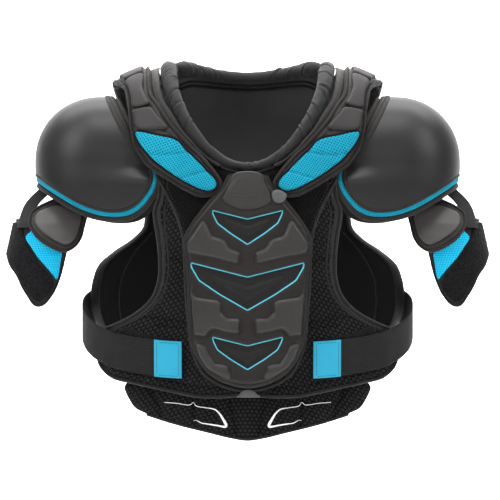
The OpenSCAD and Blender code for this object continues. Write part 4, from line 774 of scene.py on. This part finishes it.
for side, mir in SIDES:
    bb, gb = f"bicep_{side}", f"guard_{side}"; sd = 61 if mir else 51
    o = shell(f"arm_wrap_{side}", WR, lambda v, d, sd=sd: crown(-6.5, -2.2, 4.5, 0.1)(v, d) + 0.25 * noise(v, 22, sd), crown(-6.6, -10.4, 4), 2.6, arm_map, body=bb, mat=M["lining"], mirror=mir, rings=(0.5, 1.4, 3.0))
    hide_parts(f"bicep_wrap_{side}")
    P = arm_map(WR, np.full(len(WR), -5.6)); N = arm_norm(WR)
    tube(f"arm_wrap_edge_{side}", P, N, 3.9, 2.2, 12, True, bb, M["bind"], mir, bumpf=lambda l, a: 1 + 0.025 * np.sin(l / 2.0))
    q = shell(f"arm_mesh_{side}", INZ, lambda v, d: crown(-1.9, -0.3, 1.6, 0.1)(v, d) + 0.1 * noise(v, 12, 3), -2.6, 1.9, arm_map, body=bb, mat=M["blue_lt"], mirror=mir, rings=(0.5, 1.2))
    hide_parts(f"bicep_insert_{side}")
    q = shell(f"arm_band_{side}", ST, lambda v, d, sd=sd: crown(-1.9, 0.7, 1.8, 0.1)(v, d) + 0.22 * noise(v, 5, sd + 3) + 0.12 * noise(v, 2.6, sd + 4), -2.5, 1.7, arm_map, body=bb, mat=M["fuzz"], mirror=mir, rings=(0.5, 1.2))
    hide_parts(f"bicep_strap_{side}")
    def gtop(v, d, sd=sd): return crown(5.0, 10.8, 4.0, 0.1)(v, d) - 1.3 * np.exp(-((d - 6.4) / 1.1) ** 2) + 0.12 * noise(v, 14, sd + 5)
    o = shell(f"arm_guard_{side}", GD, gtop, crown(6.4, 4.7, 2.5), 2.1, arm_map, body=gb, mat=M["leather"], mirror=mir, rings=(0.5, 1.3, 2.6, 4.4, 5.6, 6.6, 7.8))
    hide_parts(f"bicep_guard_{side}")
    P = arm_map(GD, np.full(len(GD), 7.2)); N = arm_norm(GD)
    tube(f"arm_guard_edge_{side}", P, N, 3.6, 2.3, 12, True, gb, M["bind"], mir, bumpf=lambda l, a: 1 + 0.02 * np.sin(l / 1.9))
    o = shell(f"arm_shield_{side}", PLT, lambda v, d: crown(10.2, 13.2, 4.0, 0.08)(v, d) + 0.6 * S(4, 16, d), 9.8, 2.0, arm_map, body=gb, mat=M["plate"], mirror=mir, rings=(0.4, 1.0, 2.0, 3.4))
    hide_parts(f"bicep_plate_{side}")
    q = inset(GD, 3.6); stitches(f"arm_guard_stitching_{side}", [(arm_map(q, np.full(len(q), 10.4)), arm_norm(q))], gb, M["thread"], mir, 2.2, 1.6, 0.36)
    # hanger webbing
    hg = np.array([[-137, 80], [-144, 72], [-152, 63], [-162, 55.5], [-175, 53.5], [-190, 53.5]])
    zz = np.linspace(-190.5, -138.4, 40); ac = np.interp(zz, hg[::-1, 0], hg[::-1, 1]); ac = np.convolve(np.pad(ac, 4, "edge"), np.ones(9) / 9, "valid")
    rowsV = []
    us = np.linspace(-14, 10, 15)
    outer = np.array([[arm_xyz(np.array([a + u]), np.array([z]), np.array([53.5 + (0 if -13.9 < u < 9.9 else -0.5)]))[0] for u in us] for z, a in zip(zz, ac)])
    inner = np.array([[arm_xyz(np.array([a + u]), np.array([z]), np.array([51.7]))[0] for u in us] for z, a in zip(zz, ac)])
    R_, C_ = outer.shape[:2]; Vv = np.concatenate([outer.reshape(-1, 3), inner.reshape(-1, 3)]); Nn = R_ * C_; F = []
    for r in range(R_ - 1):
        for c in range(C_ - 1):
            a_ = r * C_ + c; F.append((a_, a_ + 1, a_ + C_ + 1, a_ + C_)); F.append((a_ + Nn, a_ + C_ + Nn, a_ + C_ + 1 + Nn, a_ + 1 + Nn))
    for c in range(C_ - 1): a_ = c; e_ = (R_ - 1) * C_ + c; F.append((a_ + 1, a_, a_ + Nn, a_ + 1 + Nn)); F.append((e_, e_ + 1, e_ + 1 + Nn, e_ + Nn))
    for r in range(R_ - 1): a_ = r * C_; e_ = r * C_ + C_ - 1; F.append((a_, a_ + C_, a_ + C_ + Nn, a_ + Nn)); F.append((e_ + C_, e_, e_ + Nn, e_ + C_ + Nn))
    uv = np.stack([np.tile(us, R_), np.repeat(zz, C_)], 1); uv = np.concatenate([uv, uv])
    o = make(f"arm_hanger_{side}", Vv, F, uv, bb, M["web"], mir)
    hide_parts(f"bicep_hanger_{side}")

# ============================================================ belly pad
bo = np.array([[-156, -386], [-160.5, -393], [-158, -401], [-153.5, -409.5], [-145, -420], [-112, -432], [-74, -442], [-40, -449.8], [-18, -454.5], [0, -457]])
BP = np.concatenate([bo, (bo * [-1, 1])[::-1][1:]])
BO = resample(np.concatenate([cr(dom(BP), step=2.6), resample(dom(BP)[[-1, 0]], 2.6)]), 2.6, True)
chs = []
for m_ in (1, -1):
    for L in ([[-127, -386], [-117, -405], [-107, -430]], [[-72, -386], [-69, -410], [-64, -443]], [[-24, -386], [-20, -415], [-13, -456]], [[-107, -395], [-100, -410], [-95, -434]]):
        if L[0][0] == -107: continue
        chs.append(cr(dom(np.array(L, float) * [m_, 1]), step=2.2))
def belly_top(v, d):
    o = crown(-8.2, -2.2, 6, 0.05)(v, d)
    q = np.minimum.reduce([seg_dist(v, L) for L in chs])
    return o + 1.4 * np.clip(q / 14, 0, 1) * S(3, 12, d) + 0.2 * noise(v, 26, 71) - groove(v, chs, 1.9, 3.2) * S(1, 5, d)
o = shell("belly_cover", BO, belly_top, crown(-9, -12.3, 4), 2.5, body="belly", mat=M["mesh"], rings=(0.5, 1.4, 3.0, 5.0), feats=[(L, False, (-1.7, 0, 1.7)) for L in chs])
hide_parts("belly_pad")
P, N = on_body(BO[(BO[:, 1] > dom([[0, -388]])[0, 1] + 1)], -7.2)
k0 = int(np.argmax(np.linalg.norm(P - np.roll(P, 1, 0), axis=1))); P, N = np.roll(P, -k0, 0), np.roll(N, -k0, 0)
b = tube("belly_binding", P, N, 4.2, 2.2, 12, body="belly", mat=M["bind"])
def flat_line(L, w, o): 
    T = np.gradient(L, axis=0); T /= np.linalg.norm(T, axis=1, keepdims=True); Nn = np.stack([-T[:, 1], T[:, 0]], 1); w = np.broadcast_to(w, len(L))[:, None]
    a, b = L - Nn * w / 2, L + Nn * w / 2; return a, b
wl = cr(g(163.4, 403.6, 176, 404.3, 189.6, 405.8, 192.2, 403.6, 195.5, 406.8, 205, 408.4, 214.6, 410.2, 219, 414, 222, 418.5, 225.9, 427.2, 216, 426.2, 208, 425, 201.8, 424.2, 196, 421.8, 193, 421.6), step=1.2)
wd = np.interp(np.arange(len(wl)) / (len(wl) - 1), [0, 0.25, 0.42, 0.52, 0.66, 0.74, 1.0], [0.7, 0.8, 0.9, 1.6, 3.6, 2.0, 0.6])
allV, allF, off = [], [], 0
for m_ in (1, -1):
    a, b = flat_line(wl, wd, 0); rowsv = []
    for q, oo in ((a, -0.9), (a, 0.35), (b, 0.35), (b, -0.9)):
        D = dom(q * [m_, 1]); rowsv.append(body_map(D, belly_top(D, seg_dist(D, BO, True)) + oo))
    n_ = len(wl); Vv = np.concatenate(rowsv); F = []
    for r in range(4):
        for i in range(n_ - 1): F.append((r * n_ + i, r * n_ + i + 1, ((r + 1) % 4) * n_ + i + 1, ((r + 1) % 4) * n_ + i))
    F += [(0, n_, 2 * n_, 3 * n_), (n_ - 1, 4 * n_ - 1, 3 * n_ - 1, 2 * n_ - 1)]
    if m_ < 0: F = [f[::-1] for f in F]
    allF += [tuple(k + off for k in f) for f in F]; allV.append(Vv); off += len(Vv)
o = make("belly_lines", np.concatenate(allV), allF, None, "belly", M["white"], smooth=False)
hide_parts("belly_piping")

# ============================================================ side straps
sp = np.array([[-22.2, -355.5, 13.7], [-26, -355, 13.7], [-30, -354.3, 13.7], [-33.4, -353.4, 13.7], [-38, -352, 13.7], [-43, -350.5, 13.7], [-49, -348, 13.7],
  [-55, -345.5, 13.7], [-61, -341, 13.8], [-67, -336.5, 14.4], [-73, -330.5, 16], [-79, -323, 18], [-85, -314.5, 19.4], [-91, -306, 19.8],
  [-97, -299, 18.6], [-103, -294, 16.4], [-109, -290.5, 14.6], [-114, -288, 13.8]])
def strap_grid(t0, t1, n, w, o1, o2, waves_=0.0, rnd=0.0):
    ts = np.linspace(t0, t1, n); c = cr(sp, step=2.0); Lc = np.concatenate([[0], np.cumsum(np.linalg.norm(np.diff(c[:, :2], axis=0), axis=1))]); Lc /= Lc[-1]
    P = np.stack([np.interp(ts, Lc, c[:, k]) for k in range(3)], 1)
    C = 25; vs = np.linspace(w / 2, -w / 2, C)
    X = xof(P[:, 0]); out = []
    for o, top_ in ((o2, True), (o1, False)):
        Z = P[:, 1][:, None] + vs[None]; TT = tof(X[:, None] + 0 * Z, Z); pp = P[:, 0][:, None] + 0 * Z
        b_ = base(pp, TT, 1); n_ = nrm(pp, TT, 1)
        edge = np.where((np.abs(vs) > w / 2 - 0.1), 0.35, 0)[None] * (1 if top_ else 0)
        wav = waves_ * np.sin(ts * 60)[:, None] * (1 + 0 * vs)[None]
        out.append(b_ + (P[:, 2][:, None] + o - edge + wav)[..., None] * n_)
    s_len = np.concatenate([[0], np.cumsum(np.linalg.norm(np.diff(out[0][:, C // 2], axis=0), axis=1))])
    uv = np.stack([np.repeat(s_len, C), np.tile(vs, n)], 1)
    return out[0], out[1], uv, n, C
def grid_solid(name, O, I, uv, n, C, body, mat, mirror):
    Vv = np.concatenate([O.reshape(-1, 3), I.reshape(-1, 3)]); N_ = n * C; F = []
    for r in range(n - 1):
        for c in range(C - 1):
            a_ = r * C + c; F.append((a_, a_ + 1, a_ + C + 1, a_ + C)); F.append((a_ + N_, a_ + C + N_, a_ + C + 1 + N_, a_ + 1 + N_))
    for c in range(C - 1): a_ = c; e_ = (n - 1) * C + c; F.append((a_ + 1, a_, a_ + N_, a_ + 1 + N_)); F.append((e_, e_ + 1, e_ + 1 + N_, e_ + N_))
    for r in range(n - 1): a_ = r * C; e_ = a_ + C - 1; F.append((a_, a_ + C, a_ + C + N_, a_ + N_)); F.append((e_ + C, e_, e_ + N_, e_ + C + N_))
    f = F[0]; nn_ = np.cross(Vv[f[1]] - Vv[f[0]], Vv[f[2]] - Vv[f[0]])
    if np.dot(nn_, O[0, 0] - I[0, 0]) < 0: F = [x[::-1] for x in F]
    return make(name, Vv, F, np.concatenate([uv, uv]), body, mat, mirror)
for side, mir in SIDES:
    body = f"side_strap_{side}"
    O, I, uv, n_, C_ = strap_grid(0, 1, 120, 45, 0, 2.0, 0.05)
    o = grid_solid(f"elastic_strap_{side}", O, I, uv, n_, C_, body, M["elastic"], mir)
    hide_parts(f"side_strap_{side}")
    O, I, uv, n2, C2 = strap_grid(-0.0, 0.098, 24, 46, 2.1, 3.6)
    o = grid_solid(f"pull_tab_{side}", O, I, uv, n2, C2, body, M["tab"], mir)
    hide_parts(f"strap_tab_{side}")
    # box stitching round the tab and across the strap
    def pth(pts):
        P_, N_ = [], []
        for ts, vv in pts:
            i = ts / 0.098 * (n2 - 1); i0 = int(min(n2 - 2, i)); f = i - i0; c = (23 - vv) / 46 * (C2 - 1); c0 = int(min(C2 - 2, c)); h = c - c0
            P_.append((O[i0, c0] * (1 - f) + O[i0 + 1, c0] * f) * (1 - h) + (O[i0, c0 + 1] * (1 - f) + O[i0 + 1, c0 + 1] * f) * h); v_ = O[i0, c0] - I[i0, c0]; N_.append(v_ / np.linalg.norm(v_))
        return np.array(P_), np.array(N_)
    a = np.linspace(0, 1, 20)
    stitches(f"tab_stitching_{side}", [pth([(0.010 + 0.078 * k, 20.5) for k in a]), pth([(0.010 + 0.078 * k, -20.5) for k in a]), pth([(0.010, 20.5 - 41 * k) for k in a]), pth([(0.088, 20.5 - 41 * k) for k in a])], body, M["thread_dk"], mir, 2.2, 1.4, 0.35)

# ============================================================ back half
bk_rows = [[-140, -60], [-129, -80], [-119, -100], [-111, -122], [-116, -146], [-130, -170], [-134, -190], [-148, -206], [-168, -221], [-184, -238], [-190, -258], [-191.5, -280], [-190.5, -300], [-184, -320], [-168, -340], [-130, -358]]
left = np.array([[-152, 0.3 * BSZ], [-151, 9 * BSZ], [-149, 20 * BSZ]] + [list(q) for q in dom([[-147, -42]] + bk_rows)])
botm = dom([[-90, -361], [-40, -362], [0, -362]])
neck = np.array([[0, float(tof(0, 5)) * BSZ], [-44, float(tof(-44, 7)) * BSZ], [-78, float(tof(-78, 8)) * BSZ], [-98, float(tof(-98, 2)) * BSZ], [-110, 8 * BSZ], [-111.5, 0.3 * BSZ]])
half = np.concatenate([cr(left, step=3), cr(np.concatenate([left[-1:], botm]), step=3)[1:]])
nk = cr(neck, step=3)
BKO = np.concatenate([half, (half * [-1, 1])[::-1][1:], (nk * [-1, 1])[::-1], nk])
BKO = resample(BKO, 3.2, True)
bl = []
for m_ in (1, -1):
    for L in ([[-60, -62], [-62, -130], [-66, -200], [-64, -280], [-56, -352]], [[-66, -200], [-110, -212], [-150, -232]], [[-66, -256], [-120, -268], [-176, -276]], [[-62, -310], [-120, -316], [-172, -312]], [[-100, -20], [-104, -70], [-92, -140], [-66, -200]]):
        bl.append(cr(dom(np.array(L, float) * [m_, 1]), step=3))
def back_top(v, d):
    q = np.minimum.reduce([seg_dist(v, L) for L in bl])
    o = crown(4.5, 10.6, 7, 0.0)(v, d) + 1.5 * np.clip(q / 20, 0, 1) * S(5, 16, d) + 0.25 * noise(v, 50, 81) + 0.1 * noise(v, 15, 82)
    return np.minimum(o - groove(v, bl, 1.9, 3.2) * S(2, 7, d), 12.3)
def back_in(v, d):
    return crown(4.0, 0.3, 5)(v, d) + 0.3 * noise(v, 70, 83) * S(5, 20, d)
o = shell("back_cover", BKO, back_top, back_in, 3.2, sd=-1, body="torso", mats=[M["mesh"], M["inner"]], pick=lambda c: np.zeros(len(c)), back_mat=M["inner"], rings=(0.5, 1.4, 3.0, 5.2), feats=[(L, False, (-1.8, 0, 1.8)) for L in bl])
# painted shade: the low wearer side takes the darker copy of the lining
shade_low(o)
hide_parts("back_panel")
run = np.concatenate([left[3:], botm]); run = cr(run, step=3)
run = np.concatenate([run, (run * [-1, 1])[::-1][1:]])
P, N = on_body(run, 6.2, -1)
b = tube("back_edge", P, N, 6.0, 2.5, 14, body="torso", mat=M["bind"], bumpf=lambda l, a: 1 + 0.02 * np.sin(l / 2.1))
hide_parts("back_binding")
# seam under the rear collar, on the wearer's side
for k, dz in enumerate((0, -5.2)):
    nks = cr(dom([[-90, -1.5 + dz], [-78, 3 + dz], [-62, 3.6 + dz], [-44, 2.4 + dz], [-21, 0.8 + dz], [0, 0 + dz]]), step=2.4); nks = np.concatenate([nks, (nks * [-1, 1])[::-1][1:]])
    piping(f"neck_seam_{k + 1}", nks, -0.5, 1.1, -1, False, "torso", M["seam"])
    piping(f"neck_fold_{k + 1}", nks + np.array([0, 3.1]), -0.1, 1.5, -1, False, "torso", M["lining"])
# inner side flap line in the armholes
for side, mir in SIDES:
    fl_ = cr(dom([[-128, -196], [-150, -222], [-166, -252], [-170, -285], [-166, -320]]), step=2.6)
    piping(f"flank_seam_{side}", fl_, -0.2, 1.2, -1, False, "torso", M["bind"], mir)
# spine guard: five moulded segments on a base strip
base_out = cr(dom([[-38, -82], [38, -82], [44, -110], [50, -150], [52, -195], [50, -240], [44, -280], [33, -303], [-33, -303], [-44, -280], [-50, -240], [-52, -195], [-50, -150], [-44, -110]]), True, 3)
o = shell("spine_base", base_out, crown(12.5, 14.2, 3), 12.3, 3, sd=-1, body="torso", mat=M["smooth"], rings=(0.6, 1.6))
for k, (z1, z2, w1, w2) in enumerate([(-84, -138, 32, 40), (-90, -145, 41, 45), (-144, -194, 45, 46), (-198, -248, 46, 42), (-252, -299, 40, 30)]):
    if k == 0: z1, z2, w1, w2 = -85, -112, 31, 36
    if k == 1: z1, z2, w1, w2 = -117, -142, 37, 43
    P = np.array([[-w1, z1], [-w1 * 0.4, z1 - 3], [0, z1 - 6], [w1 * 0.4, z1 - 3], [w1, z1], [w2, z2 + 3], [w2 * 0.8, z2], [w2 * 0.4, z2 - 2], [0, z2 - 5], [-w2 * 0.4, z2 - 2], [-w2 * 0.8, z2], [-w2, z2 + 3]])
    P = rounded(resample(dom(P), 1.8, True), 3)
    Q = inset(P, 9.0)
    q = shell(f"spine_segment_{k + 1}", P, lambda v, d, Q=Q: crown(14.0, 18.4, 3.5, 0.1)(v, d) + 0.9 * S(-0.9, 0.9, signed(v, Q)), 13.4, 2.4, sd=-1, body="torso", mat=M["eva"], rings=(0.5, 1.3, 2.6), feats=[(Q, True, (-1, 1))])
    if k == 0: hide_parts("spine_guard")
# rear arch pads
ra = [[-166, -122, 0.3, 0.3, 1], [-165, -120, 14, 14, 1], [-161, -117, 28, 28, 1], [-153, -104, -40, -40], [-147, -86, -66, -66], [-140, -67, -94, -94], [-132, -60, -124, -124], [-126, -59, -152, -152]]
rl = rows_outline(ra); n = len(ra); rtip = dom([[-119, -170], [-108, -177], [-90, -178.5], [-74, -174], [-64, -165]])
RA = resample(np.concatenate([cr(np.concatenate([rl[:n], rtip, rl[n:]]), step=2.4), resample(np.array([rl[-1], rl[0]]), 2.4)]), 2.4, True)
rsegs = [[[-158, -128, 4, 4, 1], [-157, -128, 18, 18, 1]], [[-156, -126, 22, 22, 1], [-148, -110, -38, -38]], [[-146, -108, -43, -43], [-140, -92, -66, -66]], [[-138, -90, -71, -71], [-131, -76, -96, -96]]]
RSH = cr(dom([[-130, -102], [-76, -102], [-70, -124], [-70, -150], [-77, -164], [-92, -170], [-106, -169], [-115, -160], [-120, -140], [-125, -118]]), True, 2.2)
for side, mir in SIDES:
    o = shell(f"rear_arch_cover_{side}", RA, lambda v, d: crown(14.0, 22.4, 6.5, 0.05)(v, d) + 0.2 * noise(v, 30, 91) - 1.3 * np.exp(-((d - 7) / 1.3) ** 2), crown(14.2, 12.8, 3), 2.8, sd=-1, body="torso", mat=M["leather"], mirror=mir, rings=(0.5, 1.4, 2.8, 4.6, 6.0, 7.0, 8.2))
    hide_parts(f"rear_arch_pad_{side}")
    for k, r in enumerate(rsegs):
        P = rounded(resample(rows_outline(r), 2.0, True), 4)
        q = shell(f"rear_segment_{k + 1}_{side}", P, crown(22.0, 25.2, 3.2, 0.1), 21.4, 2.4, sd=-1, body="torso", mat=M["segment"] if k < 3 else M["eva_hi"], mirror=mir, rings=(0.5, 1.2, 2.4))
    Q = inset(RSH, 8)
    q = shell(f"scapula_shield_{side}", RSH, lambda v, d: crown(22.0, 25.6, 3.6, 0.1)(v, d) + 0.9 * S(-0.9, 0.9, signed(v, Q)), 21.4, 2.3, sd=-1, body="torso", mat=M["eva"], mirror=mir, rings=(0.5, 1.3, 2.6), feats=[(Q, True, (-1, 1))])
    bl_ = RA[RA[:, 1] > 1.2]; k0 = int(np.argmax(np.linalg.norm(bl_ - np.roll(bl_, 1, 0), axis=1))); bl_ = np.roll(bl_, -k0, 0)
    P, N = on_body(bl_, 17.2, -1)
    b = tube(f"rear_arch_edge_{side}", P, N, 4.4, 2.4, 12, body="torso", mat=M["bind"], mirror=mir)
    # yoke fabric between the halves, under the arch pads
    YB = np.array([[-152.4, -6.2], [-110.6, -6.2], [-110.6, 6.2], [-152.4, 6.2]]); YB = resample(YB, 1.5, True)
    y = shell(f"yoke_{side}", YB, crown(9.0, 12.2, 1.2, 0.5), 0.1, 1.6, body=None, mat=M["smooth"], mirror=mir, rings=(0.5, 1.0))
    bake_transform(y)
    # strap anchor with box stitch
    an = [[-117, -291], [-122, -288.5], [-127, -286.5], [-132, -285]]
    ANC = cr(dom([[float(xof(-60.5)), -264.5], [float(xof(-55)), -262.5], [float(xof(-49)), -261.5], [float(xof(-49)), -284], [float(xof(-49)), -307], [float(xof(-55)), -308.5], [float(xof(-61)), -310], [float(xof(-61)), -287]]), True, 2.4)
    q = shell(f"strap_base_{side}", ANC, crown(12.6, 15.0, 1.2, 0.3), 12.2, 2.4, sd=-1, body="torso", mat=M["web"], mirror=mir, rings=(0.5, 1.2))
    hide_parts(f"strap_anchor_{side}")
    qi = inset(ANC, 4); stitches(f"anchor_stitching_{side}", [on_body(np.concatenate([qi, qi[:1]]), 15.2, -1)], "torso", M["thread"], mir)
    # tethers from the yoke to the cap
    V_, F_ = [], []; off = 0
    tp = np.array([[-152.5, 0.3], [-156, 0.2], [-161, -1], [-166, -4], [-168.6, -8]]); tp = cr(tp, step=1.2)
    for y0 in (4, 17):
        nn_ = len(tp); ys = np.linspace(y0, y0 + 10, 7)
        zt = zsh(tp[:, 0]) + 7 + tp[:, 1]; T_ = np.stack([np.gradient(tp[:, 0]), np.gradient(zt)], 1); T_ /= np.linalg.norm(T_, axis=1, keepdims=True); Nq = np.stack([T_[:, 1], -T_[:, 0]], 1)
        Nq = np.where(Nq[:, 1:2] < 0, -Nq, Nq)
        for h in (0, -1.8):
            for i in range(nn_):
                for yv in ys: V_.append([tp[i, 0] + Nq[i, 0] * h, yv, zt[i] + Nq[i, 1] * h])
        a_n = nn_ * 7
        for i in range(nn_ - 1):
            for c in range(6):
                a_ = off + i * 7 + c; F_.append((a_, a_ + 1, a_ + 8, a_ + 7)); F_.append((a_ + a_n, a_ + 7 + a_n, a_ + 8 + a_n, a_ + 1 + a_n))
        for c in range(6): a_ = off + c; e_ = off + (nn_ - 1) * 7 + c; F_.append((a_ + 1, a_, a_ + a_n, a_ + 1 + a_n)); F_.append((e_, e_ + 1, e_ + 1 + a_n, e_ + a_n))
        for i in range(nn_ - 1): a_ = off + i * 7; e_ = a_ + 6; F_.append((a_, a_ + 7, a_ + 7 + a_n, a_ + a_n)); F_.append((e_ + 7, e_, e_ + a_n, e_ + 7 + a_n))
        off += 2 * a_n
    V_ = np.array(V_); o = make(f"cap_webbing_{side}", V_, F_, V_[:, :2], "torso", M["web"], mir)
    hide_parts(f"cap_tether_{side}")
# kidney pad
ko = np.array([[-129, -364.5], [-129, -374], [-126, -382], [-118, -397], [-98, -412], [-62, -420.5], [-30, -421.6], [0, -422]])
KO = np.concatenate([ko, (ko * [-1, 1])[::-1][1:]]); KO = resample(np.concatenate([cr(dom(KO), step=2.8), resample(dom(KO)[[-1, 0]], 2.8)]), 2.8, True)
kl = [cr(dom(np.array(L, float)), step=2.4) for L in ([[-84, -370], [-78, -395], [-70, -424]], [[84, -370], [78, -395], [70, -424]], [[-30, -370], [-28, -395], [-24, -426]], [[30, -370], [28, -395], [24, -426]])]
o = shell("kidney_cover", KO, lambda v, d: crown(4, 9.8, 6, 0.05)(v, d) + 1.1 * np.clip(np.minimum.reduce([seg_dist(v, L) for L in kl]) / 14, 0, 1) * S(3, 10, d) - groove(v, kl, 1.9, 3.0) * S(1, 5, d), crown(4, 0.4, 4), 2.8, sd=-1, body="kidney", mat=M["mesh"], rings=(0.5, 1.4, 3.0, 5.0), feats=[(L, False, (-1.7, 0, 1.7)) for L in kl])
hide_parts("kidney_pad")
P, N = on_body(KO, 5.5, -1); b = tube("kidney_binding", P, N, 4.6, 2.2, 12, True, "kidney", M["bind"])

# loops at the tops of the hangers keep their CAD shape
for side, mir in SIDES:
    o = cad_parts[f"hanger_loop_{side}"]
    o.data.materials.clear(); o.data.materials.append(M["acetal"])

# ============================================================ stage, light, camera
def stage_mesh(name, V, F, m):
    me = bpy.data.meshes.new(name); me.from_pydata(V, [], F); me.materials.append(m)
    for p_ in me.polygons: p_.use_smooth = True
    o = bpy.data.objects.new(name, me); COL.objects.link(o); return o
wm, nt, b = new_mat("studio_white", 0.9, 0.1)
ln = noise_t(nt, tex_obj(nt), 0.6, 1)
nt.links.new(ramp(nt, ln, [(0, (0.93, 0.93, 0.93)), (1, (0.96, 0.96, 0.96))]), b.inputs["Base Color"])
# the backdrop is only there from its front, so the object can be looked at from behind
gm = nt.nodes.new("ShaderNodeNewGeometry"); tr = nt.nodes.new("ShaderNodeBsdfTransparent"); mx = nt.nodes.new("ShaderNodeMixShader")
ou = [q for q in nt.nodes if q.type == "OUTPUT_MATERIAL"][0]
nt.links.new(gm.outputs["Backfacing"], mx.inputs[0]); nt.links.new(b.outputs[0], mx.inputs[1]); nt.links.new(tr.outputs[0], mx.inputs[2]); nt.links.new(mx.outputs[0], ou.inputs["Surface"])
FZ = CAD_BOX[0][2] - 0.34
prof = [(-6.0, FZ), (0.6, FZ)] + [(0.6 + 1.2 * math.sin(a), FZ + 1.2 - 1.2 * math.cos(a)) for a in np.linspace(0.1, math.pi / 2, 14)] + [(1.8, FZ + 6.0)]
V = [(x, y, z) for y, z in prof for x in (-6.0, 6.0)]
stage_mesh("studio_floor", V, [(2 * i, 2 * i + 1, 2 * i + 3, 2 * i + 2) for i in range(len(prof) - 1)], wm)

w = bpy.data.worlds.new("studio"); bpy.context.scene.world = w; w.use_nodes = True
w.node_tree.nodes["Background"].inputs[0].default_value = (1, 1, 1, 1); w.node_tree.nodes["Background"].inputs[1].default_value = 0.20
def area(name, loc, target, size, power, sy=None):
    l = bpy.data.lights.new(name, "AREA"); l.energy = power; l.shape = "RECTANGLE"; l.size = size; l.size_y = sy or size
    o = bpy.data.objects.new(name, l); COL.objects.link(o); o.location = loc
    o.rotation_euler = (Vector(target) - Vector(loc)).to_track_quat("-Z", "Y").to_euler(); return o
area("key_left", (-1.15, -0.85, 0.62), (-0.1, 0, -0.2), 0.40, 17, 1.1)
area("key_right", (1.25, -0.70, 0.58), (0.1, 0, -0.2), 0.40, 13, 1.1)
area("top", (0, -0.55, 1.30), (0, -0.02, -0.1), 1.2, 21, 0.5)
area("front_fill", (0.1, -2.6, 0.45), (0, 0, -0.25), 0.9, 9, 0.7)
area("back_wash", (0, 0.75, 1.6), (0, 1.8, -0.2), 3.2, 95, 0.6)
area("back_wash_low", (0, 0.55, -0.7), (0, 1.8, 0.1), 3.0, 70, 0.5)

cam = bpy.data.cameras.new("camera"); co_ = bpy.data.objects.new("camera", cam); COL.objects.link(co_)
co_.location = (0.0031, -3.0, -0.21875); co_.rotation_euler = (math.radians(90), 0, 0)
cam.sensor_width = 36; cam.lens = 36 * 2.9 / 0.625; cam.clip_end = 50
bpy.context.scene.camera = co_
bpy.context.scene.view_settings.view_transform = "Standard"
